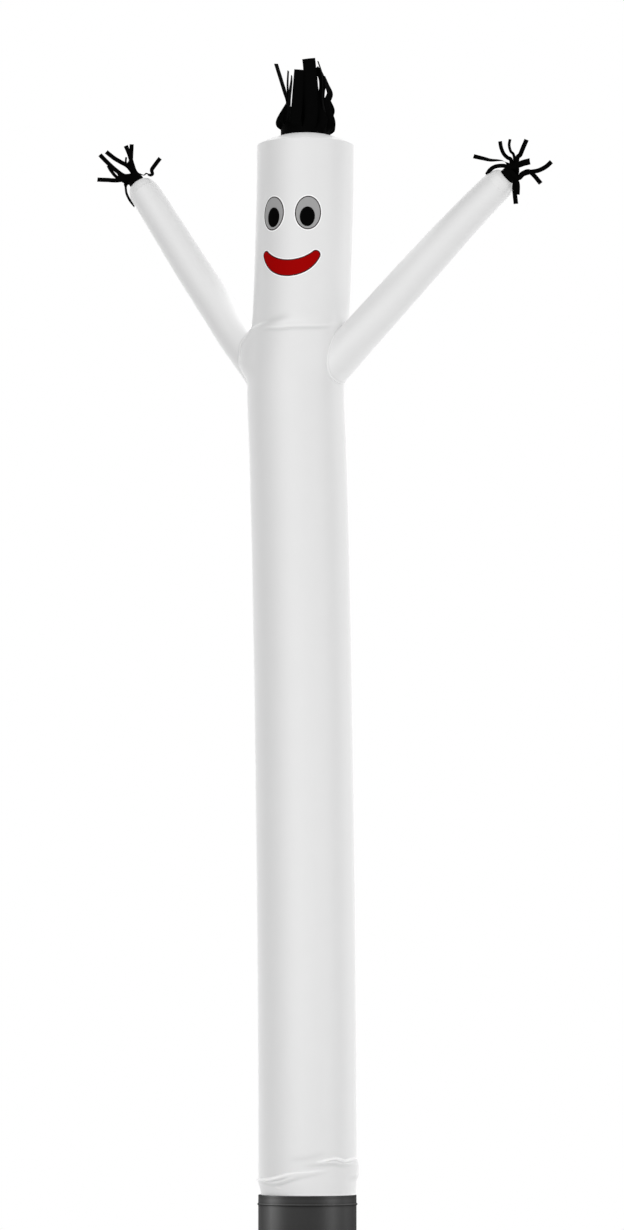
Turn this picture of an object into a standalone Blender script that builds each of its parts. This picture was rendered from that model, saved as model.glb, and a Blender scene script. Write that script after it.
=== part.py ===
"""Inflatable tube dancer: an 18 inch white cloth tube with a smiling face, two raised arms and black fringe.

Metres, +Z up. The face looks along -Y and the origin is under the middle of the part, where the hem rests.
Every cloth piece is a thin closed shell in the shape it takes when the blower fills it.
"""

import math
from collections import namedtuple

import bmesh
import bpy
from mathutils import Vector

for old_object in list(bpy.data.objects):
    bpy.data.objects.remove(old_object, do_unlink=True)

# ---------------------------------------------------------------- driving dimensions
GAP = 0.0003                 # between two pieces that are sewn together
TUBE_RADIUS = 0.2300         # the 18 inch tube, filled
CLOTH = 0.002                # body, arm and top panel cloth
SIDES = 32                   # facets round the tube

SLEEVE_HEIGHT = 0.300        # dark sleeve, from the hem to its upper edge
SLEEVE_CLOTH = 0.0025        # heavier cloth of the sleeve
HEM_HEIGHT = 0.030           # turned-up hem, twice as thick
HEM_CLOTH = 0.0045
PIPING_HEIGHT = 0.257        # middle of the corded bead
PIPING_WIDTH = 0.010
PIPING_DEPTH = 0.0046

BODY_BOTTOM = 0.278          # the white tube starts inside the sleeve
BODY_TOP = 5.263             # seam to the round top panel
DOME_RISE = 0.061            # height the top panel would reach without its vent
VENT_RADIUS = 0.120

ARM_SIDES = 18
ARM_TWIST = math.radians(8)  # the arms sit a little round from the sides of the face
WRIST_VENT_RADIUS = 0.041

APPLIQUE = 0.001             # face patches
Oval = namedtuple("Oval", "name arc level width height")  # arc: along the cloth from the middle of the face
EYES = [Oval("eye_left", -0.0910, 4.911, 0.116, 0.157), Oval("eye_right", 0.0862, 4.907, 0.120, 0.155)]
PUPILS = [Oval("pupil_left", -0.0870, 4.892, 0.067, 0.094), Oval("pupil_right", 0.0830, 4.889, 0.071, 0.093)]
MOUTH_ARC = 0.0034           # middle of the smile's band, along the cloth
MOUTH_LEVEL = 4.6465
MOUTH_RADIUS = 0.1596        # of the curve along the band's middle
MOUTH_HALF = 0.0375          # half the band's height in its middle
MOUTH_TAPER = 0.0202         # loss of that for each radian squared along the curve
MOUTH_ENDS = (math.radians(-55.9), math.radians(52.1))  # where the round ends start

STRIP_CLOTH = 0.0015         # fringe strips
HAIR_RING_RADIUS = 0.1172
HAND_RING_RADIUS = 0.0375

# The tube bows to the left up to the shoulders, and the head leans back. A row for each height.
Bow = namedtuple("Bow", "height lean")
BOWS = [
    Bow(0.00, 0.000), Bow(0.60, 0.000), Bow(2.30, 0.017), Bow(3.85, 0.050), Bow(4.10, 0.058),
    Bow(4.24, 0.051), Bow(4.38, 0.037), Bow(4.56, 0.027), Bow(5.00, 0.013), Bow(5.40, 0.009),
]
BASE_X = -0.066              # tube axis at the hem

# Heights of the rings of cloth between the ends, close together where the cloth folds.
RING_HEIGHTS = (
    [0.303, 0.325, 0.350, 0.364, 0.378, 0.392, 0.406, 0.420, 0.436, 0.450, 0.464, 0.478, 0.505]
    + [2.30, 3.85]
    + [4.10, 4.15, 4.20, 4.24, 4.29, 4.335, 4.358, 4.38, 4.396, 4.414]
    + [4.45, 4.56, 5.00]
)

# The tube is one length of cloth, stated here as four straight lengths that stand end to end.
Length = namedtuple("Length", "name bottom top")
LENGTHS = [
    Length("body_lower", BODY_BOTTOM, 2.30), Length("body_upper", 2.30, 3.85),
    Length("body_chest", 3.85, 4.56), Length("body_head", 4.56, BODY_TOP),
]

# Folds that run round the tube. Around is degrees from the middle of the face, to the wearer's left.
Fold = namedtuple("Fold", "around height depth")
LOW_FOLD = [
    Fold(-200, 0.400, 0.000), Fold(-150, 0.392, 0.005), Fold(-100, 0.376, 0.008), Fold(-60, 0.374, 0.009),
    Fold(-27, 0.380, 0.009), Fold(-8, 0.398, 0.009), Fold(10, 0.408, 0.006), Fold(32, 0.414, 0.003),
    Fold(50, 0.416, 0.000),
]
HIGH_FOLD = [
    Fold(8, 0.446, 0.000), Fold(24, 0.454, 0.004), Fold(38, 0.466, 0.008), Fold(52, 0.471, 0.009),
    Fold(65, 0.462, 0.008), Fold(84, 0.468, 0.009), Fold(120, 0.462, 0.007), Fold(160, 0.446, 0.004),
    Fold(195, 0.430, 0.000),
]
SHOULDER_FOLD = [
    Fold(-78, 4.384, 0.000), Fold(-66, 4.388, 0.004), Fold(-36, 4.396, 0.005), Fold(-18, 4.406, 0.004),
    Fold(0, 4.418, 0.000),
]
NECK_FOLD = [
    Fold(-34, 4.372, 0.000), Fold(-18, 4.372, 0.005), Fold(20, 4.372, 0.006), Fold(48, 4.376, 0.005),
    Fold(66, 4.382, 0.000),
]

# Where an arm is sewn on, its pull draws the tube outwards.
Shoulder = namedtuple("Shoulder", "around height pull")
SHOULDER_LEFT = Shoulder(-90 - 8, 4.262, 0.044)
SHOULDER_RIGHT = Shoulder(90 - 8, 4.262, 0.010)

# Arm tubes: reach out from the tube axis, height, radius in the arm's upright plane, radius across it.
Arm = namedtuple("Arm", "reach height tall deep")
ARM_LEFT = [
    Arm(0.136, 4.125, 0.092, 0.116), Arm(0.237, 4.262, 0.091, 0.114), Arm(0.315, 4.359, 0.088, 0.100),
    Arm(0.413, 4.502, 0.0865, 0.089), Arm(0.550, 4.700, 0.083, 0.083), Arm(0.716, 4.949, 0.0775, 0.0775),
    Arm(0.807, 5.084, 0.0745, 0.0745),
]
ARM_RIGHT = [
    Arm(0.130, 4.150, 0.091, 0.116), Arm(0.245, 4.262, 0.090, 0.114), Arm(0.330, 4.345, 0.090, 0.102),
    Arm(0.409, 4.421, 0.0905, 0.093), Arm(0.697, 4.698, 0.086, 0.086), Arm(0.885, 4.875, 0.079, 0.079),
]
WRIST_LEFT = (0.860, 5.156)
WRIST_RIGHT = (1.079, 5.040)

# The end of an arm rounds over to its vent.
Closing = namedtuple("Closing", "before_end radius")
CLOSINGS = [Closing(0.050, 0.0715), Closing(0.024, 0.0640), Closing(0.008, 0.0540), Closing(0.0, WRIST_VENT_RADIUS)]

# Hair strips: place round the vent, width, distance out from the vent's middle where the strip flares,
# where it draws in and at its tip, height of the tip above the vent, drift of the tip round the head, and how
# far the tip is twisted.
Hair = namedtuple("Hair", "around width flare waist tip tip_height drift twist")
HAIRS = [
    Hair(-169, 0.042, 0.132, 0.100, 0.090, 0.300, 4, 0),
    Hair(-145, 0.040, 0.136, 0.096, 0.094, 0.262, -3, 8),
    Hair(-121, 0.040, 0.140, 0.090, 0.080, 0.205, 3, -10),
    Hair(-97, 0.038, 0.143, 0.088, 0.078, 0.175, -4, 12),
    Hair(-73, 0.036, 0.141, 0.090, 0.136, 0.347, 0, 32),
    Hair(-49, 0.036, 0.135, 0.088, 0.094, 0.310, 0, 20),
    Hair(-25, 0.038, 0.130, 0.090, 0.088, 0.283, 4, 0),
    Hair(-1, 0.042, 0.128, 0.098, 0.080, 0.311, -3, 0),
    Hair(27, 0.058, 0.128, 0.100, 0.072, 0.368, 0, 0),
    Hair(56, 0.040, 0.132, 0.110, 0.088, 0.325, 4, 0),
    Hair(80, 0.038, 0.141, 0.128, 0.086, 0.305, 0, -16),
    Hair(104, 0.038, 0.143, 0.122, 0.114, 0.258, 3, -24),
    Hair(128, 0.040, 0.140, 0.112, 0.104, 0.228, -3, 10),
    Hair(153, 0.042, 0.134, 0.102, 0.094, 0.285, 3, 0),
]

# Hand strips: place round the vent from the front of the arm upwards, width, then the bend and the tip
# as reach outwards, lift and way forward from the vent's middle. Facing is the tip's flat side: 1 front, -1 back.
Strip = namedtuple("Strip", "around width bend_reach bend_lift bend_forward tip_reach tip_lift tip_forward facing")
HAND_LEFT = [
    Strip(-4, 0.015, 0.119, 0.010, 0.030, 0.201, 0.023, 0.020, 1),
    Strip(38, 0.014, 0.085, 0.059, 0.034, 0.173, 0.137, 0.044, 1),
    Strip(78, 0.014, 0.026, 0.117, 0.012, 0.054, 0.175, 0.010, 1),
    Strip(112, 0.013, -0.070, 0.046, 0.004, -0.122, 0.103, 0.000, -1),
    Strip(146, 0.014, 0.039, 0.128, -0.024, 0.045, 0.188, -0.030, -1),
    Strip(182, 0.015, 0.085, 0.093, -0.030, 0.183, 0.165, -0.034, -1),
    Strip(218, 0.014, 0.118, 0.030, -0.020, 0.180, 0.097, -0.040, -1),
    Strip(252, 0.013, 0.080, 0.010, -0.016, 0.128, 0.048, -0.092, -1),
    Strip(286, 0.013, 0.068, -0.040, 0.006, 0.018, -0.118, 0.014, 1),
    Strip(320, 0.014, 0.080, 0.020, 0.040, 0.120, 0.060, 0.095, 1),
]
HAND_RIGHT = [
    Strip(-4, 0.015, 0.160, 0.016, 0.030, 0.234, 0.049, 0.026, 1),
    Strip(34, 0.018, 0.086, 0.054, 0.034, 0.131, 0.056, 0.046, 1),
    Strip(66, 0.014, -0.036, 0.056, 0.034, -0.078, 0.022, 0.056, 1),
    Strip(106, 0.014, -0.087, 0.080, 0.008, -0.157, 0.106, 0.010, 1),
    Strip(142, 0.014, -0.029, 0.118, -0.018, -0.043, 0.171, -0.028, -1),
    Strip(176, 0.010, 0.003, 0.136, -0.026, 0.002, 0.181, -0.040, -1),
    Strip(210, 0.014, 0.053, 0.091, -0.034, 0.082, 0.176, -0.050, -1),
    Strip(246, 0.014, 0.117, 0.019, -0.026, 0.155, -0.035, -0.030, -1),
    Strip(284, 0.015, 0.053, -0.052, 0.004, 0.048, -0.130, 0.006, 1),
    Strip(320, 0.013, 0.076, -0.044, 0.034, 0.077, -0.094, 0.050, 1),
]


# ---------------------------------------------------------------- shape functions
def smooth(value):
    """An S-curve from 0 to 1."""
    value = min(max(value, 0.0), 1.0)
    return value * value * (3.0 - 2.0 * value)


def between(rows, key, value):
    """The row at a value of its first column, blended from the two rows on either side."""
    for low, high in zip(rows, rows[1:]):
        if value <= getattr(high, key):
            break
    share = (value - getattr(low, key)) / (getattr(high, key) - getattr(low, key))
    share = min(max(share, 0.0), 1.0)
    return type(low)(*(a + (b - a) * share for a, b in zip(low, high)))


def axis_x(height):
    """Where the tube's axis stands at a height."""
    return BASE_X - between(BOWS, "height", height).lean


def fold_offset(rows, around, height, ridge, trough, span):
    """How far a fold lifts the cloth: a ridge with a trough close under it."""
    low = rows[0].around
    turned = low + (around - low) % 360.0
    if turned >= rows[-1].around:
        return 0.0
    row = between(rows, "around", turned)
    above = (height - row.height) / span
    return row.depth * (ridge * math.exp(-above * above) - trough * math.exp(-((above + 1.7) ** 2)))


def shoulder_offset(shoulder, around, height):
    """How far an arm draws the tube outwards."""
    turned = abs((around - shoulder.around + 180.0) % 360.0 - 180.0)
    side = 1.0 - smooth((turned - 28.0) / 36.0)
    upright = smooth(1.3 * (1.0 - abs(height - shoulder.height) / 0.148))
    return shoulder.pull * side * upright


def body_radius(around, height):
    """Radius of the white tube's outer face."""
    radius = TUBE_RADIUS
    radius += fold_offset(LOW_FOLD, around, height, 1.0, 0.8, 0.012)
    radius += fold_offset(HIGH_FOLD, around, height, 0.9, 0.8, 0.012)
    radius += fold_offset(SHOULDER_FOLD, around, height, 1.0, 0.6, 0.014)
    radius += fold_offset(NECK_FOLD, around, height, 0.7, 1.0, 0.014)
    radius += shoulder_offset(SHOULDER_LEFT, around, height)
    radius += shoulder_offset(SHOULDER_RIGHT, around, height)
    # slack cloth bags out over the sleeve on one side, and the tube is gathered into it, more on the other
    bag = smooth(1.6 - abs(height - 0.424) / 0.040) * smooth(1.6 - abs(around - 112.0) / 34.0)
    radius += 0.011 * bag
    inset = 0.0036 + 0.009 * smooth(0.5 - 0.5 * math.sin(math.radians(around)))
    radius -= inset * (1.0 - smooth((height - 0.303) / 0.065))
    return radius if height > SLEEVE_HEIGHT + 0.002 else min(radius, TUBE_RADIUS - SLEEVE_CLOTH - 0.0006)


def tube_point(around, height, radius):
    """A point at a radius from the tube's axis."""
    angle = math.radians(around)
    return Vector((axis_x(height) + radius * math.sin(angle), -radius * math.cos(angle), height))


def through(points, steps):
    """Points on a smooth curve through the given points, with some steps between each two."""
    ends = [points[0] * 2.0 - points[1]] + list(points) + [points[-1] * 2.0 - points[-2]]
    curve = []
    for a, b, c, d in zip(ends, ends[1:], ends[2:], ends[3:]):
        for step in range(steps):
            t = step / steps
            curve.append(
                0.5 * (2.0 * b + (c - a) * t + (2.0 * a - 5.0 * b + 4.0 * c - d) * t * t
                       + (3.0 * b - a - 3.0 * c + d) * t * t * t)
            )
    curve.append(points[-1].copy())
    return curve


# ---------------------------------------------------------------- mesh functions
def add_material(thing, name, colour, roughness, metallic=0.0):
    """Give the object its own Principled material."""
    material = bpy.data.materials.new(name)
    material.use_nodes = True
    shader = material.node_tree.nodes["Principled BSDF"]
    shader.inputs["Base Color"].default_value = (*colour, 1.0)
    shader.inputs["Roughness"].default_value = roughness
    shader.inputs["Metallic"].default_value = metallic
    thing.data.materials.append(material)


def finish(name, mesh_data, smooth_angle=40.0):
    """Turn the faces outwards, shade them and put the object in the scene."""
    bmesh.ops.remove_doubles(mesh_data, verts=mesh_data.verts, dist=1e-6)
    bmesh.ops.recalc_face_normals(mesh_data, faces=mesh_data.faces)
    mesh = bpy.data.meshes.new(name)
    mesh_data.to_mesh(mesh)
    mesh_data.free()
    mesh.shade_smooth()
    mesh.set_sharp_from_angle(angle=math.radians(smooth_angle))
    thing = bpy.data.objects.new(name, mesh)
    bpy.context.scene.collection.objects.link(thing)
    return thing


def skin(mesh_data, loops, closed):
    """Join loops of points with faces. The last loop joins the first when closed is true."""
    rings = [[mesh_data.verts.new(point) for point in loop] for loop in loops]
    pairs = list(zip(rings, rings[1:]))
    if closed:
        pairs.append((rings[-1], rings[0]))
    for ring, following in pairs:
        for side in range(len(ring)):
            after = (side + 1) % len(ring)
            mesh_data.faces.new((ring[side], ring[after], following[after], following[side]))
    if not closed:
        mesh_data.faces.new(rings[0])
        mesh_data.faces.new(rings[-1])


def shell(name, outer, inner):
    """A tube of cloth: its outer loops from end to end and its inner loops back again."""
    mesh_data = bmesh.new()
    skin(mesh_data, outer + inner[::-1], True)
    return finish(name, mesh_data)


def solid(name, loops):
    """A filled tube, used as a cutter."""
    mesh_data = bmesh.new()
    skin(mesh_data, loops, False)
    thing = finish(name, mesh_data)
    thing.hide_render = True
    thing.display_type = "WIRE"
    return thing


def cut(thing, cutter):
    """Cut one solid out of another."""
    modifier = thing.modifiers.new("cut_" + cutter.name, "BOOLEAN")
    modifier.operation = "DIFFERENCE"
    modifier.solver = "EXACT"
    modifier.object = cutter


def turned(name, profile, height):
    """A ring of cloth or cord turned round the tube's axis from a closed profile of radius and rise."""
    loops = []
    for radius, rise in profile:
        loops.append([tube_point(0.0, height, 0.0) + Vector((radius * math.sin(math.tau * side / SIDES),
                      -radius * math.cos(math.tau * side / SIDES), rise)) for side in range(SIDES)])
    mesh_data = bmesh.new()
    skin(mesh_data, loops, True)
    return finish(name, mesh_data)


# ---------------------------------------------------------------- sleeve and piping
sleeve_profile = [
    (TUBE_RADIUS, SLEEVE_HEIGHT),
    (TUBE_RADIUS, HEM_HEIGHT + 0.004),
    (TUBE_RADIUS - SLEEVE_CLOTH + HEM_CLOTH, HEM_HEIGHT),
    (TUBE_RADIUS - SLEEVE_CLOTH + HEM_CLOTH, 0.0),
    (TUBE_RADIUS - SLEEVE_CLOTH, 0.0),
    (TUBE_RADIUS - SLEEVE_CLOTH, SLEEVE_HEIGHT),
]
base_sleeve = turned("base_sleeve", sleeve_profile, 0.0)
add_material(base_sleeve, "dark coated cloth", (0.045, 0.045, 0.045), 0.42)

piping_profile = [(TUBE_RADIUS + GAP, -0.5 * PIPING_WIDTH), (TUBE_RADIUS + GAP, 0.5 * PIPING_WIDTH)]
for step in range(1, 3):
    angle = math.pi * step / 3
    piping_profile.append(
        (TUBE_RADIUS + GAP + PIPING_DEPTH * math.sin(angle), 0.5 * PIPING_WIDTH * math.cos(angle))
    )
sleeve_piping = turned("sleeve_piping", piping_profile, PIPING_HEIGHT)
add_material(sleeve_piping, "dark piping cord", (0.035, 0.035, 0.035), 0.45)

# ---------------------------------------------------------------- white tube: body and head in one
ring_heights = [BODY_BOTTOM] + RING_HEIGHTS + [BODY_TOP]


def body_loops(heights, growth):
    """Loops of the white tube's outer face, moved outwards by a growth."""
    return [
        [tube_point(360.0 * side / SIDES, height, body_radius(360.0 * side / SIDES, height) + growth)
         for side in range(SIDES)]
        for height in heights
    ]


body_lengths = {}
for length in LENGTHS:
    heights = [height for height in ring_heights if length.bottom <= height < length.top]
    heights.append(length.top if length.top == BODY_TOP else length.top - GAP)
    tube = shell(length.name, body_loops(heights, 0.0), body_loops(heights, -CLOTH))
    add_material(tube, "white coated nylon " + length.name, (0.80, 0.80, 0.80), 0.45)
    body_lengths[length.name] = tube

shoulder_heights = [height for height in ring_heights if 3.8 < height < 4.8]
shoulder_core = solid("cut_shoulders", body_loops(shoulder_heights, GAP))


# ---------------------------------------------------------------- arms
def arm_frame(side):
    """Outward and forward directions of an arm; side is 1 for +X and -1 for -X."""
    outward = Vector((math.cos(ARM_TWIST), -math.sin(ARM_TWIST), 0.0)) * side
    forward = Vector((-math.sin(ARM_TWIST), -math.cos(ARM_TWIST), 0.0))
    return outward, forward


def arm_stations(rows, wrist, side):
    """Middle, direction and two radii of each ring of an arm."""
    outward, _ = arm_frame(side)
    root = Vector((axis_x(4.27), 0.0, 0.0))
    path = [root + outward * row.reach + Vector((0, 0, row.height)) for row in rows]
    radii = [(row.tall, row.deep) for row in rows]
    end = root + outward * wrist[0] + Vector((0, 0, wrist[1]))
    along = (end - path[-1]).normalized()
    stations = []
    for index, middle in enumerate(path):
        following = path[index + 1] if index + 1 < len(path) else end
        before = path[index - 1] if index else middle - (following - middle)
        stations.append((middle, (following - before).normalized(), *radii[index]))
    for row in CLOSINGS:
        stations.append((end - along * row.before_end, along, row.radius, row.radius))
    return stations


def arm_loops(stations, side, inward):
    """Loops of an arm's face, moved inwards."""
    _, forward = arm_frame(side)
    loops = []
    for middle, along, tall, deep in stations:
        upward = along.cross(forward) if side < 0 else forward.cross(along)
        loops.append([
            middle
            + forward * ((deep - inward) * math.cos(math.tau * step / ARM_SIDES))
            + upward * ((tall - inward) * math.sin(math.tau * step / ARM_SIDES))
            for step in range(ARM_SIDES)
        ])
    return loops


# An arm is one tapered length of cloth. It is stated as lengths that stand end to end: the first from the arm's
# root and each other one from the station where the arm is parted.
ArmLength = namedtuple("ArmLength", "name start")
for name, rows, wrist, side, lengths in (
    ("arm_left", ARM_LEFT, WRIST_LEFT, -1, [ArmLength("_lower", 0), ArmLength("_upper", 3), ArmLength("_end", 5)]),
    ("arm_right", ARM_RIGHT, WRIST_RIGHT, 1, [
        ArmLength("_lower", 0), ArmLength("_upper", 3), ArmLength("_fore", 4), ArmLength("_end", 5)
    ]),
):
    stations = arm_stations(rows, wrist, side)
    stops = [length.start for length in lengths[1:]] + [len(stations) - 1]
    for length, stop in zip(lengths, stops):
        run = stations[length.start:stop + 1]
        if length is not lengths[-1]:
            middle, along, tall, deep = run[-1]
            run[-1] = (middle - along * GAP, along, tall, deep)
        arm = shell(name + length.name, arm_loops(run, side, 0.0), arm_loops(run, side, CLOTH))
        if length is lengths[0]:
            cut(arm, shoulder_core)
        add_material(arm, "white coated nylon " + name + length.name, (0.80, 0.80, 0.80), 0.45)
    bore = solid("cut_" + name, arm_loops(stations[:4], side, CLOTH))
    cut(body_lengths["body_chest"], bore)

# ---------------------------------------------------------------- round top panel with its vent
dome_radii = [TUBE_RADIUS, 0.222, 0.172, VENT_RADIUS]


def dome_rise(radius):
    """Height of the top panel's outer face over its seam."""
    return DOME_RISE * (1.0 - (radius / TUBE_RADIUS) ** 2)


panel_profile = [(TUBE_RADIUS, GAP)]
panel_profile += [(radius - 0.0002, dome_rise(radius) + GAP + 0.0030) for radius in dome_radii]
panel_profile += [(radius, dome_rise(radius) + GAP + 0.0010) for radius in dome_radii[:1:-1]]
panel_profile += [(TUBE_RADIUS - CLOTH, GAP)]
head_top = turned("head_top", panel_profile, BODY_TOP)
add_material(head_top, "white coated nylon head_top", (0.80, 0.80, 0.80), 0.45)


# ---------------------------------------------------------------- face patches
def patch(name, columns, lift, colour, roughness):
    """A cloth patch on the head. A column is its lower and upper end, each an arc from the face and a height."""
    mesh_data = bmesh.new()
    loops = []
    for low_arc, low, high_arc, high in columns:
        rows = [(low_arc, low), (0.5 * (low_arc + high_arc), 0.5 * (low + high)), (high_arc, high)]
        if low_arc == high_arc:
            rows.pop(1)
        inner = [tube_point(math.degrees(arc / TUBE_RADIUS), level, TUBE_RADIUS + lift) for arc, level in rows]
        outer = [
            tube_point(math.degrees(arc / TUBE_RADIUS), level, TUBE_RADIUS + lift + APPLIQUE)
            for arc, level in rows[::-1]
        ]
        loops.append(inner + outer)
    skin(mesh_data, loops, False)
    thing = finish(name, mesh_data)
    add_material(thing, name + " cloth", colour, roughness)
    return thing


def oval_columns(oval, count):
    """Columns of an oval patch."""
    columns = []
    for step in range(count + 1):
        across = -math.cos(math.pi * (0.05 + 0.90 * step / count))
        half = 0.5 * oval.height * math.sqrt(1.0 - across * across)
        arc = oval.arc + 0.5 * oval.width * across
        columns.append((arc, oval.level - half, arc, oval.level + half))
    return columns


def mouth_columns():
    """Columns of the smile: cuts across a curved band that tapers to round ends."""
    first, last = MOUTH_ENDS
    cuts = []
    for angle in (78, 52, 26):
        half = MOUTH_HALF - MOUTH_TAPER * first * first
        cuts.append((first, -half * math.sin(math.radians(angle)), half * math.cos(math.radians(angle))))
    for step in range(13):
        turn = first + (last - first) * step / 12.0
        cuts.append((turn, 0.0, MOUTH_HALF - MOUTH_TAPER * turn * turn))
    for angle in (26, 52, 78):
        half = MOUTH_HALF - MOUTH_TAPER * last * last
        cuts.append((last, half * math.sin(math.radians(angle)), half * math.cos(math.radians(angle))))
    columns = []
    for turn, along, half in cuts:
        arc = MOUTH_ARC + MOUTH_RADIUS * math.sin(turn) + along * math.cos(turn)
        level = MOUTH_LEVEL + MOUTH_RADIUS * (1.0 - math.cos(turn)) + along * math.sin(turn)
        columns.append((
            arc + half * math.sin(turn), level - half * math.cos(turn),
            arc - half * math.sin(turn), level + half * math.cos(turn),
        ))
    return columns


patch_lift = 0.0005
for oval in EYES:
    patch(oval.name, oval_columns(oval, 12), patch_lift, (0.34, 0.34, 0.34), 0.5)
for oval in PUPILS:
    patch(oval.name, oval_columns(oval, 9), patch_lift + APPLIQUE + 0.0005, (0.004, 0.004, 0.004), 0.5)
patch("mouth", mouth_columns(), 0.0010, (0.33, 0.0, 0.0), 0.5)


# ---------------------------------------------------------------- fringe combs
def comb(name, middle, ring_axes, ring_radius, band_low, band_high, strips, steps):
    """A comb of strips on a ring of tape. A strip is its place round it, width, path and tip facing."""
    across, upward, along = ring_axes
    mesh_data = bmesh.new()
    columns = []
    for around, width, path, facing in strips:
        half = 0.5 * width / ring_radius
        columns.append((math.radians(around) - half, math.radians(around) + half, path, facing))
    columns.sort(key=lambda column: column[0])

    def ring_point(angle, rise):
        return middle + (across * math.cos(angle) + upward * math.sin(angle)) * ring_radius + along * rise

    lower = []
    higher = []
    for first, second, _, _ in columns:
        for angle in (first, second):
            lower.append(mesh_data.verts.new(ring_point(angle, band_low)))
            higher.append(mesh_data.verts.new(ring_point(angle, band_high)))
    for index in range(len(lower)):
        after = (index + 1) % len(lower)
        mesh_data.faces.new((lower[index], lower[after], higher[after], higher[index]))
    for index, (first, second, path, facing) in enumerate(columns):
        row = (higher[2 * index], higher[2 * index + 1])
        half_width = 0.5 * (row[1].co - row[0].co).length
        centre_angle = 0.5 * (first + second)
        outward = across * math.cos(centre_angle) + upward * math.sin(centre_angle)
        points = through([0.5 * (row[0].co + row[1].co)] + path, steps)
        for step in range(1, len(points)):
            following = points[min(step + 1, len(points) - 1)]
            tangent = (following - points[step - 1]).normalized()
            turn = smooth(step / (len(points) - 1))
            normal = outward * (1.0 - turn) + facing * turn
            sideways = normal.cross(tangent).normalized()
            if sideways.dot(row[1].co - row[0].co) < 0.0:
                sideways.negate()
            new_row = (
                mesh_data.verts.new(points[step] - sideways * half_width),
                mesh_data.verts.new(points[step] + sideways * half_width),
            )
            mesh_data.faces.new((row[0], row[1], new_row[1], new_row[0]))
            row = new_row
    thing = finish(name, mesh_data, 60.0)
    thickness = thing.modifiers.new("cloth", "SOLIDIFY")
    thickness.thickness = STRIP_CLOTH
    thickness.offset = 0.0
    add_material(thing, name + " nylon", (0.004, 0.004, 0.004), 0.55)
    return thing


head_middle = tube_point(0.0, BODY_TOP, 0.0) + Vector((0.0, 0.0, dome_rise(VENT_RADIUS)))
hair_strips = []
for row in HAIRS:
    path = []
    for distance, height, drift in (
        (row.flare, 0.066, 0.0), (row.waist, 0.5 * (0.066 + min(row.tip_height, 0.255)), 0.3),
        (row.tip, row.tip_height, 1.0),
    ):
        angle = math.radians(row.around + row.drift * drift)
        path.append(head_middle + Vector((distance * math.sin(angle), -distance * math.cos(angle), height)))
    angle = math.radians(row.around + row.twist)
    hair_strips.append((row.around, row.width, path, Vector((math.sin(angle), -math.cos(angle), 0.0))))
hair_axes = (Vector((0, -1, 0)), Vector((1, 0, 0)), Vector((0, 0, 1)))
comb("hair", head_middle, hair_axes, HAIR_RING_RADIUS, -0.016, 0.016, hair_strips, 2)

for name, rows, arm_rows, wrist, side in (
    ("fringe_left", HAND_LEFT, ARM_LEFT, WRIST_LEFT, -1), ("fringe_right", HAND_RIGHT, ARM_RIGHT, WRIST_RIGHT, 1)
):
    outward, forward = arm_frame(side)
    end, along, _, _ = arm_stations(arm_rows, wrist, side)[-1]
    upward = along.cross(forward) if side < 0 else forward.cross(along)
    strips = []
    for row in rows:
        path = [
            end + outward * reach + Vector((0, 0, lift)) + forward * ahead
            for reach, lift, ahead in (
                (row.bend_reach, row.bend_lift, row.bend_forward), (row.tip_reach, row.tip_lift, row.tip_forward),
            )
        ]
        strips.append((row.around, row.width, path, forward * row.facing))
    comb(name, end, (forward, upward, along), HAND_RING_RADIUS, -0.010, 0.010, strips, 3)
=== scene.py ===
"""Looks of an inflatable tube dancer: a white nylon tube with a smiling face, raised arms and black fringe.

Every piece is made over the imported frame, in metres, and is placed from the frame's own boxes. The file
follows the dancer from the sleeve that slips over the blower up to the hair.
"""

import math
from collections import namedtuple

import bmesh
import bpy
import numpy as np
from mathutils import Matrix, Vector


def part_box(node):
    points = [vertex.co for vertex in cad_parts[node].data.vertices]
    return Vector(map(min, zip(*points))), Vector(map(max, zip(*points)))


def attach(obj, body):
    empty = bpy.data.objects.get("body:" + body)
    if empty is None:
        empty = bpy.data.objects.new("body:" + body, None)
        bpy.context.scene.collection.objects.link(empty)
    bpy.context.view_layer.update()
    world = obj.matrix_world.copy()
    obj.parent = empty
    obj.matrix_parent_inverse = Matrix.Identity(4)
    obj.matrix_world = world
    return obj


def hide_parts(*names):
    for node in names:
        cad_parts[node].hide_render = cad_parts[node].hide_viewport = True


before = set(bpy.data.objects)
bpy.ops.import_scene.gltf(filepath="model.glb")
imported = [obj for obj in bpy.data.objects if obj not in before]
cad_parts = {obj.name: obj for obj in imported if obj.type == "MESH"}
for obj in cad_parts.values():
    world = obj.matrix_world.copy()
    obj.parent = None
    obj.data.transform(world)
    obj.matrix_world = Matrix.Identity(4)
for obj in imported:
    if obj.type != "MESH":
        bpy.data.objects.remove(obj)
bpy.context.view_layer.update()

# ---------------------------------------------------------------- camera
# A long lens, 24 m in front of the dancer and a metre off the ground, turned 17 degrees round to the side
# of its left arm and tipped up a little, so that the sleeve's foot is just below the frame.
TURN = math.radians(17)
CAMERA_DISTANCE = 24.0
CAMERA_HEIGHT = 1.010
CAMERA_SHIFT = 0.0415        # to the left, so that the leaning dancer stands in the middle
CAMERA_TIP = math.radians(4.79)
UP = Vector((0.0, 0.0, 1.0))
sideways = Vector((math.cos(TURN), math.sin(TURN), 0.0))
towards = Vector((math.sin(TURN), -math.cos(TURN), 0.0))
camera = bpy.data.objects.new("camera", bpy.data.cameras.new("camera"))
bpy.context.scene.collection.objects.link(camera)
bpy.context.scene.camera = camera
camera.data.sensor_width = 36.0
camera.data.lens = 149.3
camera.data.clip_end = 200.0
camera.location = towards * CAMERA_DISTANCE - sideways * CAMERA_SHIFT + UP * CAMERA_HEIGHT
camera.rotation_euler = (0.5 * math.pi + CAMERA_TIP, 0.0, TURN)

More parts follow.
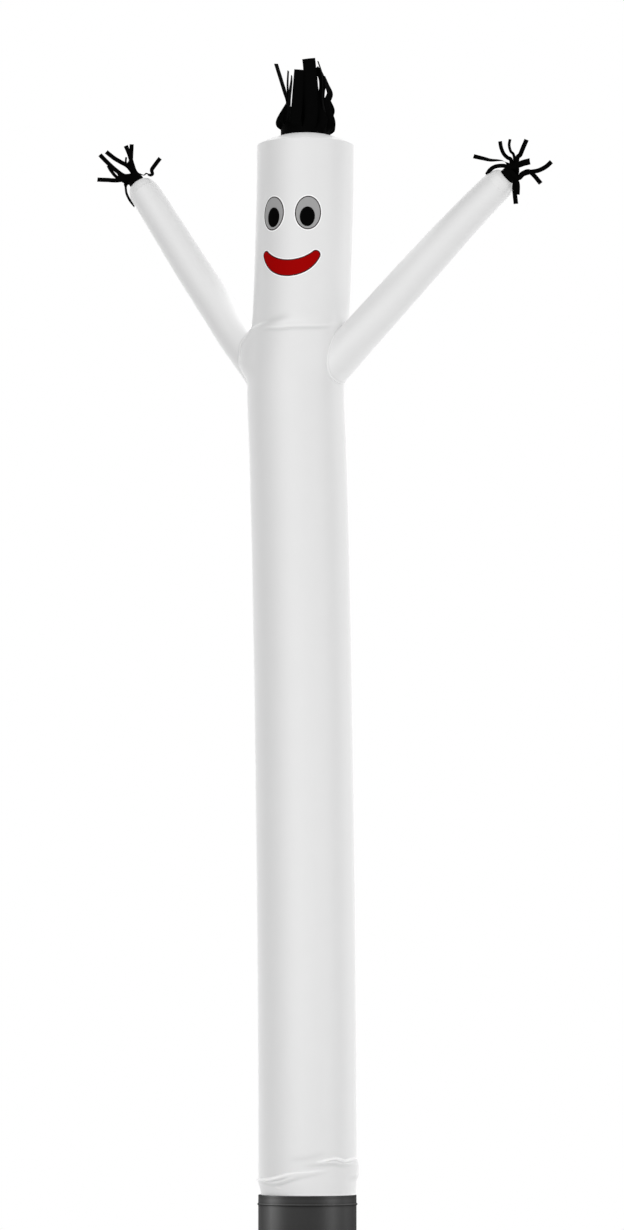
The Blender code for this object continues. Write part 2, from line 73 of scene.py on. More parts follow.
# ---------------------------------------------------------------- studio
# A white tent of cloth all round, brighter in front and behind and with a black flag at each side, so that
# the round tube shows a darker band near each edge. The floor is a pale round sheet that fades into the tent.
bpy.context.scene.view_settings.view_transform = "Standard"


def linear(code):
    """The linear colour of an sRGB hex code."""
    steps = [int(code[place:place + 2], 16) / 255.0 for place in (1, 3, 5)]
    return (*(s / 12.92 if s <= 0.04045 else ((s + 0.055) / 1.055) ** 2.4 for s in steps), 1.0)


def add_node(tree, kind, settings=None, links=None):
    """Add a node, set its properties and input values, and link sockets to its inputs."""
    node = tree.nodes.new(kind)
    for key, value in (settings or {}).items():
        if isinstance(key, str) and hasattr(node, key):
            setattr(node, key, value)
        else:
            node.inputs[key].default_value = value
    for key, socket in (links or {}).items():
        tree.links.new(socket, node.inputs[key])
    return node


# Brightness of the tent, by degrees round from straight in front; the right is positive.
Panel = namedtuple("Panel", "around brightness")
TENT = [
    Panel(-180, 1.40), Panel(-150, 1.50), Panel(-124, 1.25), Panel(-110, 0.80), Panel(-98, 0.05),
    Panel(-74, 0.03), Panel(-62, 0.35), Panel(-50, 1.00), Panel(-38, 1.55), Panel(-24, 1.85),
    Panel(-12, 1.60), Panel(2, 1.15), Panel(18, 0.86), Panel(32, 0.93), Panel(46, 1.15), Panel(58, 0.95),
    Panel(70, 0.40), Panel(80, 0.25), Panel(88, 0.50), Panel(98, 1.15), Panel(110, 1.75), Panel(122, 1.70),
    Panel(138, 1.42), Panel(160, 1.35), Panel(180, 1.40),
]
BRIGHTEST = 2.0
ROOF = 0.55                  # brightness overhead
GROUND = 0.50                # brightness below

world = bpy.data.worlds.new("studio tent")
bpy.context.scene.world = world
world.use_nodes = True
tent = world.node_tree
tent.nodes.clear()
place = add_node(tent, "ShaderNodeTexCoord")
ahead, aside = (
    add_node(
        tent, "ShaderNodeVectorMath", {"operation": "DOT_PRODUCT", 1: axis}, {0: place.outputs["Generated"]}
    )
    for axis in (towards, sideways)
)
around = add_node(
    tent, "ShaderNodeMath", {"operation": "ARCTAN2"}, {0: aside.outputs["Value"], 1: ahead.outputs["Value"]}
)
share = add_node(
    tent, "ShaderNodeMapRange", {"From Min": -math.pi, "From Max": math.pi}, {"Value": around.outputs[0]}
)
ring = add_node(tent, "ShaderNodeValToRGB", {}, {"Fac": share.outputs["Result"]})
stops = ring.color_ramp.elements
while len(stops) > 1:
    stops.remove(stops[-1])
for panel in TENT:
    place_round = (panel.around + 180.0) / 360.0
    stop = stops[0] if panel is TENT[0] else stops.new(place_round)
    stop.position = place_round
    stop.color = (*[panel.brightness / BRIGHTEST] * 3, 1.0)
height = add_node(tent, "ShaderNodeSeparateXYZ", {}, {0: place.outputs["Generated"]})
tent_colour = ring.outputs["Color"]
for level, brightness in ((1, ROOF), (-1, GROUND)):
    over = add_node(
        tent, "ShaderNodeMapRange", {"From Min": 0.62 * level, "From Max": 0.95 * level},
        {"Value": height.outputs["Z"]},
    )
    tent_colour = add_node(
        tent, "ShaderNodeMix", {"data_type": "RGBA", 7: (*[brightness / BRIGHTEST] * 3, 1.0)},
        {0: over.outputs["Result"], 6: tent_colour},
    ).outputs[2]
lit = add_node(tent, "ShaderNodeBackground", {"Strength": BRIGHTEST * 0.95}, {"Color": tent_colour})
plain = add_node(tent, "ShaderNodeBackground", {"Color": (1.0, 1.0, 1.0, 1.0), "Strength": 1.0})
seen = add_node(tent, "ShaderNodeLightPath")
sky = add_node(
    tent, "ShaderNodeMixShader", {},
    {0: seen.outputs["Is Camera Ray"], 1: lit.outputs[0], 2: plain.outputs[0]},
)
add_node(tent, "ShaderNodeOutputWorld", {}, {"Surface": sky.outputs[0]})

FLOOR_RADIUS = 3.2
floor_mesh = bmesh.new()
bmesh.ops.create_circle(floor_mesh, cap_ends=True, segments=96, radius=FLOOR_RADIUS)
floor = bpy.data.objects.new("floor", bpy.data.meshes.new("floor"))
floor_mesh.to_mesh(floor.data)
floor_mesh.free()
bpy.context.scene.collection.objects.link(floor)
vinyl = bpy.data.materials.new("white studio vinyl")
vinyl.use_nodes = True
sheet = vinyl.node_tree
sheet.nodes.clear()
spot = add_node(sheet, "ShaderNodeTexCoord")
away = add_node(sheet, "ShaderNodeVectorMath", {"operation": "LENGTH"}, {0: spot.outputs["Object"]})
fade = add_node(
    sheet, "ShaderNodeMapRange",
    {"interpolation_type": "SMOOTHSTEP", "From Min": 0.45 * FLOOR_RADIUS, "From Max": FLOOR_RADIUS},
    {"Value": away.outputs["Value"]},
)
matt = add_node(sheet, "ShaderNodeBsdfPrincipled", {
    "Base Color": linear("#EDEDED"), "Roughness": 0.7, "Emission Color": (1.0, 1.0, 1.0, 1.0),
    "Emission Strength": 0.20,
})
clear = add_node(sheet, "ShaderNodeBsdfTransparent")
faded = add_node(
    sheet, "ShaderNodeMixShader", {}, {0: fade.outputs["Result"], 1: matt.outputs[0], 2: clear.outputs[0]}
)
add_node(sheet, "ShaderNodeOutputMaterial", {}, {"Surface": faded.outputs[0]})
floor.data.materials.append(vinyl)

# ---------------------------------------------------------------- base sleeve
# The foot of the dancer: a wide band of heavy coated polyester, sewn into a ring with its lower edge turned
# up as a hem. It slips over the blower's round outlet and is strapped there.
TUBE_RADIUS = 0.2300         # the 18 inch tube, filled
SLEEVE_HEIGHT = 0.300
SLEEVE_CLOTH = 0.0025
HEM_HEIGHT = 0.030
HEM_CLOTH = 0.0045
SLEEVE_SIDES = 192
HEM_STITCHES = HEM_HEIGHT - 0.0042
TOP_STITCHES = 0.286
HEM_DIP = 0.0007             # how far each row of stitches draws the cloth in
TOP_DIP = 0.0006
STITCH_LENGTH = 0.0030
STITCH_PITCH = 0.0042

foot_low, foot_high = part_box("base_sleeve")
base_x = 0.5 * (foot_low.x + foot_high.x)
base_y = 0.5 * (foot_low.y + foot_high.y)


def sewn(name, mesh, material, sharp=50):
    """The object of a mesh: faces turned outwards, and smooth but for folds sharper than some degrees."""
    tidy = bmesh.new()
    tidy.from_mesh(mesh)
    bmesh.ops.delete(tidy, geom=[v for v in tidy.verts if not v.link_faces], context="VERTS")
    bmesh.ops.recalc_face_normals(tidy, faces=tidy.faces)
    tidy.to_mesh(mesh)
    tidy.free()
    if sharp:
        mesh.shade_smooth()
        mesh.set_sharp_from_angle(angle=math.radians(sharp))
    piece = bpy.data.objects.new(name, mesh)
    bpy.context.scene.collection.objects.link(piece)
    piece.data.materials.append(material)
    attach(piece, "root")
    return piece


def cloth_mesh(name, material, outer, inner, metres, holes=None, painted_light=None):
    """A closed shell of cloth from two grids of points, ring by ring, but for the cells that are holes.

    Metres holds each point's place on the cut cloth. Each point's painted light is given last: a painted
    highlight where it is above 0 and painted shade where it is below 0.
    """
    rings, sides = outer.shape[:2]
    count = rings * sides
    kept = np.ones((rings - 1, sides), bool) if holes is None else ~holes
    faces = []
    places = []

    def add(*corners):
        faces.append([layer * count + ring * sides + side % sides for ring, side, layer in corners])
        places.extend(metres[ring][side] for ring, side, _ in corners)

    for a, s in np.argwhere(kept).tolist():
        b, t = a + 1, s + 1
        add((a, s, 0), (a, t, 0), (b, t, 0), (b, s, 0))
        add((b, s, 1), (b, t, 1), (a, t, 1), (a, s, 1))
        if a == 0 or not kept[a - 1][s]:
            add((a, s, 1), (a, t, 1), (a, t, 0), (a, s, 0))
        if b == rings - 1 or not kept[b][s]:
            add((b, s, 0), (b, t, 0), (b, t, 1), (b, s, 1))
        if not kept[a][s - 1]:
            add((a, s, 0), (b, s, 0), (b, s, 1), (a, s, 1))
        if not kept[a][t % sides]:
            add((a, t, 1), (b, t, 1), (b, t, 0), (a, t, 0))
    mesh = bpy.data.meshes.new(name)
    mesh.from_pydata(np.concatenate([outer.reshape(-1, 3), inner.reshape(-1, 3)]).tolist(), [], faces)
    mesh.uv_layers.new(name="cloth").data.foreach_set("uv", np.array(places, np.float32).ravel())
    # each point's painted light is kept on the mesh for the cloth's material
    if painted_light is not None:
        folds_and_painted_light = mesh.attributes.new("folds_and_painted_light", "FLOAT", "POINT")
        folds_and_painted_light.data.foreach_set("value", np.concatenate([painted_light.ravel(), painted_light.ravel()]).astype(np.float32))
    return sewn(name, mesh, material)


def woven(name, colour, roughness, thread, relief, mottle=0.02, ior=1.5, crease_and_painted_light=0.28):
    """A woven cloth: threads over and under as relief, uneven dye, and painted highlights and painted shade.

    Thread is the weave's pitch and relief its height, in metres. Mottle is how far the dye changes the
    colour, and the last argument how far a full mark of painted light does.
    """
    material = bpy.data.materials.new(name)
    material.use_nodes = True
    tree = material.node_tree
    shader = tree.nodes["Principled BSDF"]
    shader.inputs["Roughness"].default_value = roughness
    shader.inputs["IOR"].default_value = ior
    cut = add_node(tree, "ShaderNodeUVMap", {"uv_map": "cloth"})
    warp, weft = (
        add_node(
            tree, "ShaderNodeTexWave",
            {"wave_type": "BANDS", "bands_direction": axis, "Scale": math.pi / (10.0 * thread)},
            {"Vector": cut.outputs["UV"]},
        )
        for axis in ("X", "Y")
    )
    weave = add_node(
        tree, "ShaderNodeMath", {"operation": "MULTIPLY"}, {0: warp.outputs["Fac"], 1: weft.outputs["Fac"]}
    )
    raised = add_node(tree, "ShaderNodeBump", {"Distance": relief}, {"Height": weave.outputs[0]})
    tree.links.new(raised.outputs["Normal"], shader.inputs["Normal"])
    dye = add_node(
        tree, "ShaderNodeTexNoise", {"Scale": 6.0, "Detail": 3.0, "Roughness": 0.55},
        {"Vector": cut.outputs["UV"]},
    )
    uneven = add_node(
        tree, "ShaderNodeMapRange",
        {"From Min": 0.3, "From Max": 0.7, "To Min": 1.0 - mottle, "To Max": 1.0 + mottle},
        {"Value": dye.outputs["Fac"]},
    )
    # the mesh attribute read here is painted light: a painted highlight above 0 and painted shade below 0
    folds_and_painted_light = add_node(tree, "ShaderNodeAttribute", {"attribute_name": "folds_and_painted_light"})
    painted_light_factor = add_node(
        tree, "ShaderNodeMath", {"operation": "MULTIPLY_ADD", 1: crease_and_painted_light, 2: 1.0}, {0: folds_and_painted_light.outputs["Fac"]}
    )
    shade = add_node(
        tree, "ShaderNodeMath", {"operation": "MULTIPLY"},
        {0: uneven.outputs["Result"], 1: painted_light_factor.outputs[0]},
    )
    tint = add_node(
        tree, "ShaderNodeVectorMath", {"operation": "SCALE", 0: colour[:3]}, {"Scale": shade.outputs[0]}
    )
    tree.links.new(tint.outputs["Vector"], shader.inputs["Base Color"])
    return material


# A row of a ring of cloth round the sleeve: radius, height, and painted light, a painted highlight above 0
# and painted shade below 0.
Profile = namedtuple("Profile", "radius height crease")
sleeve_in = TUBE_RADIUS - SLEEVE_CLOTH
hem_out = sleeve_in + HEM_CLOTH
# The sleeve's painted light: painted shade at its foot, at the rows of stitches, round the piping and towards
# the top edge, and a painted highlight on the hem's two folded edges.
sleeve_rows = [
    Profile(hem_out - 0.0015, 0.0, -0.3), Profile(hem_out, 0.0015, 0.3),
    Profile(hem_out, HEM_HEIGHT - 0.006, 0.0), Profile(hem_out - HEM_DIP, HEM_STITCHES, -0.3),
    Profile(hem_out, HEM_HEIGHT - 0.0025, 0.0), Profile(hem_out - 0.0006, HEM_HEIGHT, 0.3),
    Profile(TUBE_RADIUS, HEM_HEIGHT + 0.003, -0.4),
]
sleeve_rows += [Profile(TUBE_RADIUS, 0.045 + 0.012 * step, 0.0) for step in range(17)]
sleeve_rows += [
    Profile(TUBE_RADIUS, 0.247, -0.2), Profile(TUBE_RADIUS, 0.251, -0.5), Profile(TUBE_RADIUS, 0.263, -0.2),
    Profile(TUBE_RADIUS, 0.272, 0.0), Profile(TUBE_RADIUS, 0.282, 0.0),
    Profile(TUBE_RADIUS - TOP_DIP, TOP_STITCHES, -0.2), Profile(TUBE_RADIUS, 0.290, -0.2),
    Profile(TUBE_RADIUS, 0.2965, -0.4), Profile(TUBE_RADIUS - 0.0005, 0.2990, -0.5),
    Profile(TUBE_RADIUS - 0.0012, SLEEVE_HEIGHT, -0.5),
]


def round_axis(x, angles, radius, heights):
    """Points at a radius from an upright axis, at angles from the front towards the right."""
    return np.stack(np.broadcast_arrays(
        x + radius * np.sin(angles), base_y - radius * np.cos(angles), heights
    ), axis=-1)


def turned_cloth(name, material, rows, inner_radius):
    """A ring of cloth round the sleeve's axis, with the given profile outside and one radius inside."""
    angles = np.linspace(0.0, math.tau, SLEEVE_SIDES, endpoint=False)
    radius, height, crease_and_painted_light = (
        np.broadcast_to(np.array(column)[:, None], (len(rows), SLEEVE_SIDES)) for column in zip(*rows)
    )
    outer, inner = (round_axis(base_x, angles, out, height) for out in (radius, inner_radius))
    cut_width = np.linspace(0.0, math.tau * TUBE_RADIUS, SLEEVE_SIDES + 1)
    metres = np.stack(np.meshgrid(cut_width, height[:, 0]), axis=-1)
    return cloth_mesh(name, material, outer, inner, metres, painted_light=crease_and_painted_light)


def travelled(points):
    """How far each point of a line lies along it."""
    return np.concatenate([[0.0], np.cumsum(np.linalg.norm(np.diff(points, axis=0), axis=1))])


def unit(vectors):
    """Rows of vectors brought to length 1."""
    return vectors / np.linalg.norm(vectors, axis=1)[:, None]


def read_line(places, along, points):
    """Points of a line at some places along it."""
    return np.stack([np.interp(places, along, column) for column in points.T], axis=1)


def stitches(name, material, points, outwards):
    """A row of stitches along a line of points, each a short thread that lies on the cloth."""
    along = travelled(points)
    centres = np.arange(0.5 * STITCH_PITCH, along[-1], STITCH_PITCH)
    start, stop = (
        read_line(np.clip(centres + shift, 0.0, along[-1]), along, points)
        for shift in (-0.5 * STITCH_LENGTH, 0.5 * STITCH_LENGTH)
    )
    lift = unit(read_line(centres, along, outwards))
    aside = np.cross(unit(stop - start), lift)
    sunk = 0.0002                # how deep the thread's underside lies in the cloth
    verts = []
    middle = 0.5 * (start + stop)
    for base, wide, high in ((start, 0.0002, 0.0001), (middle, 0.00035, 0.0006), (stop, 0.0002, 0.0001)):
        for side in (-1, 1):
            verts += [base + aside * (side * wide) - lift * sunk, base + aside * (side * wide) + lift * high]
    verts = np.stack(verts, axis=1).reshape(-1, 3)
    faces = []
    for first in range(0, len(verts), 12):
        for a, b in ((0, 4), (4, 8)):
            for c, d in ((0, 1), (1, 3), (3, 2), (2, 0)):
                faces.append((first + a + c, first + a + d, first + b + d, first + b + c))
        faces += [(first, first + 1, first + 3, first + 2), (first + 8, first + 9, first + 11, first + 10)]
    mesh = bpy.data.meshes.new(name)
    mesh.from_pydata(verts.tolist(), [], faces)
    mesh.uv_layers.new(name="cloth")
    return sewn(name, mesh, material, sharp=None)


# Coated polyester oxford: calendered and dip coated, so it is near black and satin over a coarse weave.
oxford = woven("coated polyester oxford", linear("#242424"), 0.42, 0.0016, 0.00003, 0.05, 1.25, 0.9)
# Seen edge on, the coarse threads hide each other's gloss, so the sleeve's sides stay dark and dull.
look = oxford.node_tree
edge_on = add_node(look, "ShaderNodeLayerWeight", {"Blend": 0.5})
dulled = add_node(
    look, "ShaderNodeMapRange", {"From Min": 0.33, "From Max": 0.62, "To Min": 0.42, "To Max": 1.0},
    {"Value": edge_on.outputs["Facing"]},
)
look.links.new(dulled.outputs["Result"], look.nodes["Principled BSDF"].inputs["Roughness"])
sleeve = turned_cloth("sleeve_cloth", oxford, sleeve_rows, sleeve_in)
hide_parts("base_sleeve")
black_thread = woven("black polyester thread", linear("#1C1C1C"), 0.45, 0.0004, 0.00005, 0.05, 1.4)
ring_round = np.linspace(0.0, math.tau, 361)
ring_out = np.stack([np.sin(ring_round), -np.cos(ring_round), np.zeros(361)], axis=1)
for name, height, radius in (
    ("sleeve_hem_stitches", HEM_STITCHES, hem_out - HEM_DIP),
    ("sleeve_top_stitches", TOP_STITCHES, TUBE_RADIUS - TOP_DIP),
):
    stitches(name, black_thread, np.array([base_x, base_y, height]) + ring_out * radius, ring_out)

# ---------------------------------------------------------------- corded piping
# A cord wrapped in the same dark cloth, sewn round the sleeve a hand's width under its upper edge, where it
# stops a strap from sliding off.
cord_low, cord_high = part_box("sleeve_piping")
cord_middle = 0.5 * (cord_low.z + cord_high.z)
cord_half = 0.5 * (cord_high.z - cord_low.z)
cord_proud = 0.5 * (cord_high.x - cord_low.x) - TUBE_RADIUS
CORD_LIFT = 0.0003           # the wrapping's flat edges lie this far off the sleeve
cord_rows = []
# The cord's upper half has a painted highlight and its lower half painted shade.
for step in range(13):
    angle = math.pi * step / 12
    cord_rows.append(Profile(
        TUBE_RADIUS + CORD_LIFT + (cord_proud - CORD_LIFT) * math.sin(angle),
        cord_middle - cord_half * math.cos(angle), 1.0 if step > 6 else -0.6,
    ))
piping = turned_cloth("sleeve_piping_cloth", oxford, cord_rows, TUBE_RADIUS + 0.0002)
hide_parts("sleeve_piping")


def softbox(name, pieces, aim, offset, size, power):
    """A round softbox that lights only some pieces, without shadows.

    The offset from the point it is aimed at is sideways, towards us and up.
    """
    lit_pieces = bpy.data.collections.new("lit by " + name)
    for piece in pieces:
        lit_pieces.objects.link(piece)
    lamp = bpy.data.objects.new(name, bpy.data.lights.new(name, "AREA"))
    lamp.data.shape = "DISK"
    lamp.data.size = size
    lamp.data.energy = power
    lamp.data.use_shadow = False
    lamp.location = aim + sideways * offset[0] + towards * offset[1] + UP * offset[2]
    lamp.rotation_euler = (aim - lamp.location).to_track_quat("-Z", "Y").to_euler()
    lamp.light_linking.receiver_collection = lit_pieces
    bpy.context.scene.collection.objects.link(lamp)
    return lamp


# The satin cloth of sleeve and piping shows two tall strip lights, one at each side, that light only them.
STRIP_DISTANCE = 3.0
STRIP_HEIGHT = 3.0
StripLight = namedtuple("StripLight", "name around width power")
for strip in (StripLight("left", -86, 2.4, 210.0), StripLight("right", 58, 1.3, 120.0)):
    turned = math.radians(strip.around)
    strip_lamp = softbox(
        "strip light " + strip.name, [sleeve, piping], Vector((base_x, base_y, 0.2)),
        (STRIP_DISTANCE * math.sin(turned), STRIP_DISTANCE * math.cos(turned), 0.7), strip.width, strip.power,
    )
    strip_lamp.data.shape = "RECTANGLE"
    strip_lamp.data.size_y = STRIP_HEIGHT
    strip_lamp.data.use_shadow = True

# ---------------------------------------------------------------- body tube
# Body and head are one length of white coated nylon taffeta, sewn into a tube with a lap seam down the back
# and gathered into the sleeve. Slack cloth folds over above the sleeve and where the head leans at the neck.
BODY_CLOTH = 0.0010
LAP_CLOTH = 0.0012           # how far the lap seam stands out
GATHERS = 36.0
GATHER_DEPTH = 0.0006
BODY_SIDES = 156
BODY_BOTTOM = 0.278
BODY_TOP = 5.263

# The tube bows to the left up to the shoulders, and the head leans back. A row for each height.
Bow = namedtuple("Bow", "height lean")
BOWS = [
    Bow(0.00, 0.000), Bow(0.60, 0.000), Bow(2.30, 0.016), Bow(3.00, 0.028), Bow(3.50, 0.0395),
    Bow(3.85, 0.050), Bow(4.10, 0.058), Bow(4.24, 0.051), Bow(4.38, 0.037), Bow(4.56, 0.027),
    Bow(4.76, 0.020), Bow(5.00, 0.013), Bow(5.40, 0.009),
]

# Creases that run round the tube: how far they stand out or dip, their width, and their painted light, a
# painted highlight along a ridge and painted shade in a hollow. Rows: degrees from the middle of the face,
# height, strength.
Row = namedtuple("Row", "around height strength")
Crease = namedtuple("Crease", "bump width tone rows")
CREASES = [
    # the long fold that climbs from the left above the sleeve, with a second edge and a hollow under it
    Crease(0.0085, 0.0050, 1.40, [
        Row(-200, 0.402, 0.0), Row(-150, 0.388, 0.5), Row(-100, 0.372, 0.8), Row(-57, 0.3690, 1.0),
        Row(-42, 0.3725, 1.0), Row(-29, 0.3795, 1.0), Row(-19, 0.3895, 1.0), Row(-10, 0.3990, 0.9),
        Row(-1, 0.4055, 0.7), Row(8, 0.409, 0.55), Row(19, 0.412, 0.45), Row(27, 0.415, 0.35),
        Row(42, 0.419, 0.0),
    ]),
    Crease(-0.0020, 0.0035, -0.45, [
        Row(-52, 0.3640, 0.0), Row(-40, 0.3635, 0.8), Row(-29, 0.3680, 1.0), Row(-19, 0.3745, 1.0),
        Row(-11, 0.3820, 0.8), Row(-4, 0.389, 0.0),
    ]),
    Crease(0.0035, 0.0030, 0.55, [
        Row(-52, 0.3615, 0.0), Row(-42, 0.3600, 0.6), Row(-29, 0.3592, 1.0), Row(-19, 0.3650, 1.0),
        Row(-11, 0.3730, 0.7), Row(-4, 0.3810, 0.4), Row(4, 0.386, 0.0),
    ]),
    Crease(-0.0045, 0.0065, -0.50, [
        Row(-75, 0.352, 0.0), Row(-50, 0.3535, 0.4), Row(-35, 0.3530, 0.6), Row(-24, 0.3505, 0.8),
        Row(-14, 0.3570, 1.0), Row(-4, 0.3695, 1.0), Row(3, 0.3780, 0.8), Row(13, 0.386, 0.7),
        Row(22, 0.3935, 0.6), Row(29, 0.3995, 0.4), Row(42, 0.407, 0.0),
    ]),
    # the short wavy fold above it on the right, again with a second edge and a hollow
    Crease(0.0080, 0.0048, 1.40, [
        Row(26, 0.458, 0.0), Row(33, 0.4612, 0.6), Row(39, 0.4656, 0.9), Row(45, 0.4700, 1.0),
        Row(53, 0.4718, 1.0), Row(59, 0.4671, 1.0), Row(65, 0.4598, 1.0), Row(73, 0.4652, 1.0),
        Row(83, 0.4691, 1.0), Row(104, 0.466, 0.8), Row(130, 0.456, 0.6), Row(170, 0.440, 0.3),
        Row(205, 0.430, 0.0),
    ]),
    Crease(-0.0015, 0.0030, -0.45, [
        Row(36, 0.4570, 0.0), Row(42, 0.4605, 0.7), Row(52, 0.4640, 1.0), Row(60, 0.4588, 1.0),
        Row(66, 0.4530, 1.0), Row(74, 0.4575, 0.7), Row(86, 0.461, 0.0),
    ]),
    Crease(0.0030, 0.0030, 0.40, [
        Row(32, 0.450, 0.0), Row(38, 0.4525, 0.6), Row(43, 0.4547, 0.8), Row(52, 0.4573, 1.0),
        Row(60, 0.4507, 1.0), Row(68, 0.4471, 1.0), Row(76, 0.4511, 0.6), Row(88, 0.455, 0.0),
    ]),
    Crease(-0.0045, 0.0065, -0.42, [
        Row(8, 0.436, 0.0), Row(19, 0.4385, 0.5), Row(29, 0.442, 0.8), Row(39, 0.4440, 1.0),
        Row(50, 0.4445, 1.0), Row(60, 0.4385, 0.8), Row(68, 0.436, 0.5), Row(80, 0.439, 0.0),
    ]),
    # a shallow dent with painted shade and a small pinch with a painted highlight
    Crease(-0.0015, 0.0100, -0.30, [
        Row(-8, 0.465, 0.0), Row(1, 0.4688, 0.6), Row(15, 0.4737, 1.0), Row(30, 0.4874, 0.6),
        Row(40, 0.497, 0.0),
    ]),
    Crease(0.0015, 0.0030, 0.45, [Row(-26, 0.344, 0.0), Row(-20, 0.337, 1.0), Row(-14, 0.330, 0.0)]),
    # a painted highlight along the line where the tube leaves the sleeve
    Crease(0.0, 0.0035, 0.70, [Row(-200, 0.3035, 1.0), Row(0, 0.3035, 1.0), Row(200, 0.3035, 1.0)]),
    # the crease that climbs from the left shoulder, and the dent at its end
    Crease(0.0040, 0.0042, 0.75, [
        Row(-88, 4.364, 0.0), Row(-72, 4.372, 0.8), Row(-58, 4.3810, 1.0), Row(-47, 4.3880, 1.0),
        Row(-36, 4.3940, 0.8), Row(-28, 4.3980, 0.3), Row(-22, 4.401, 0.0),
    ]),
    Crease(-0.0018, 0.0130, -0.34, [
        Row(-42, 4.381, 0.0), Row(-29, 4.3925, 0.6), Row(-18, 4.4060, 1.0), Row(-8, 4.4140, 1.0),
        Row(8, 4.420, 0.0),
    ]),
    # the level fold at the neck: a dip with painted shade, a ridge over it with a painted highlight, and a
    # soft swelling above with a little painted light
    Crease(-0.0035, 0.0062, -0.40, [
        Row(-34, 4.363, 0.0), Row(-24, 4.3600, 0.6), Row(-10, 4.3550, 0.9), Row(6, 4.3580, 1.0),
        Row(21, 4.3590, 1.0), Row(36, 4.3610, 1.0), Row(46, 4.3640, 0.8), Row(56, 4.3700, 0.3),
        Row(66, 4.380, 0.0),
    ]),
    Crease(0.0040, 0.0060, 0.30, [
        Row(-34, 4.371, 0.0), Row(-22, 4.3715, 0.9), Row(-10, 4.3680, 1.0), Row(6, 4.3700, 0.7),
        Row(21, 4.371, 0.5), Row(36, 4.373, 0.5), Row(52, 4.380, 0.4), Row(66, 4.396, 0.0),
    ]),
    Crease(0.0045, 0.0200, 0.14, [
        Row(-27, 4.372, 0.0), Row(-10, 4.386, 0.9), Row(0, 4.397, 1.0), Row(15, 4.400, 1.0),
        Row(30, 4.392, 0.6), Row(50, 4.388, 0.0),
    ]),
    # painted light on the cloth over the right arm
    Crease(0.0, 0.0430, 0.58, [
        Row(52, 4.40, 0.0), Row(74, 4.40, 1.0), Row(100, 4.40, 1.0), Row(130, 4.40, 0.0),
    ]),
]

# Where an arm is sewn on, its pull draws the tube outwards.
Shoulder = namedtuple("Shoulder", "around height pull")
SHOULDERS = [Shoulder(-98, 4.262, 0.044), Shoulder(82, 4.262, 0.010)]
PULL_HALF_HEIGHT = 0.148
PULL_FULL = 28.0             # degrees to each side where the pull is at its full
PULL_FADE = 36.0             # and degrees over which it fades
BAG_OUT = 0.010              # how far the slack cloth bags out over the sleeve
BAG_HEIGHT = 0.418
BAG_AROUND = 112.0
GATHERED_IN = 0.0036         # how far the tube's foot is gathered in, and how much more on its left
GATHERED_MORE = 0.009


def flowing(rows, column, values):
    """A smooth curve through one column of a table, read at an array of values of its first column."""
    at = np.array([row[0] for row in rows], float)
    level = np.array([getattr(row, column) for row in rows], float)
    slope = np.gradient(level, at)
    values = np.clip(values, at[0], at[-1])
    index = np.clip(np.searchsorted(at, values, side="right") - 1, 0, len(at) - 2)
    width = at[index + 1] - at[index]
    t = (values - at[index]) / width
    return (
        level[index] * (1 + 2 * t) * (1 - t) ** 2 + slope[index] * width * t * (1 - t) ** 2
        + level[index + 1] * t * t * (3 - 2 * t) + slope[index + 1] * width * t * t * (t - 1)
    )


def smooth(values):
    """An S-curve from 0 to 1."""
    values = np.clip(values, 0.0, 1.0)
    return values * values * (3.0 - 2.0 * values)


def on_line(places, middle, width):
    """1 on a line across the cloth, fading away on both sides of it."""
    return np.exp(-((places - middle) / width) ** 2)


def axis_x(heights):
    """Where the tube's axis stands at each height."""
    return base_x - flowing(BOWS, "lean", heights)


def folds_and_painted_light(rounds, heights, column):
    """Sum of one column, the bump or the painted light, over all creases, at arrays of degrees round and of
    heights.
    """
    total = np.zeros(np.broadcast(rounds, heights).shape)
    for crease_and_painted_light in CREASES:
        low, high = crease_and_painted_light.rows[0].around, crease_and_painted_light.rows[-1].around
        turned = low + (rounds - low) % 360.0
        strength = np.where(turned < high, np.clip(flowing(crease_and_painted_light.rows, "strength", turned), 0.0, 1.0), 0.0)
        spread = crease_and_painted_light.width * (1.3 if column == "tone" else 1.0)
        level = on_line(heights, flowing(crease_and_painted_light.rows, "height", turned), spread)
        total = total + getattr(crease_and_painted_light, column) * strength * level
    return np.minimum(total, 0.95)


def lap_seam(rounds):
    """1 on the lap seam down the back and 0 beside it."""
    return smooth(2.0 - np.abs(rounds - 180.0) / 1.3)


def body_radius(rounds, heights):
    """Radius of the white tube's outer face at arrays of degrees round and of heights."""
    radius = TUBE_RADIUS + folds_and_painted_light(rounds, heights, "bump")
    for shoulder in SHOULDERS:
        turned = np.abs((rounds - shoulder.around + 180.0) % 360.0 - 180.0)
        upright = smooth(1.3 * (1.0 - np.abs(heights - shoulder.height) / PULL_HALF_HEIGHT))
        radius = radius + shoulder.pull * (1.0 - smooth((turned - PULL_FULL) / PULL_FADE)) * upright
    # slack cloth bags out over the sleeve on one side, and the tube is gathered into it, more on the other
    bag = smooth(1.6 - np.abs(heights - BAG_HEIGHT) / 0.036)
    radius = radius + BAG_OUT * bag * smooth(1.6 - np.abs(rounds - BAG_AROUND) / 34.0)
    inset = GATHERED_IN + GATHERED_MORE * smooth(0.5 - 0.5 * np.sin(np.radians(rounds)))
    radius = radius - inset * (1.0 - smooth((heights - 0.303) / 0.062))
    # the lap seam is two layers thick
    radius = radius + LAP_CLOTH * lap_seam(rounds)
    # cloth drawn in over the sleeve's mouth has small even gathers
    gathers = (1.0 - smooth((heights - SLEEVE_HEIGHT) / 0.030)) * np.sin(np.radians(rounds) * GATHERS)
    radius = radius + GATHER_DEPTH * gathers
    return np.where(heights > SLEEVE_HEIGHT + 0.002, radius, np.minimum(radius, sleeve_in - 0.0006))


def tube_points(rounds, heights, radius):
    """Points at a radius from the tube's own axis, which bows."""
    return round_axis(axis_x(heights), np.radians(rounds), radius, heights)


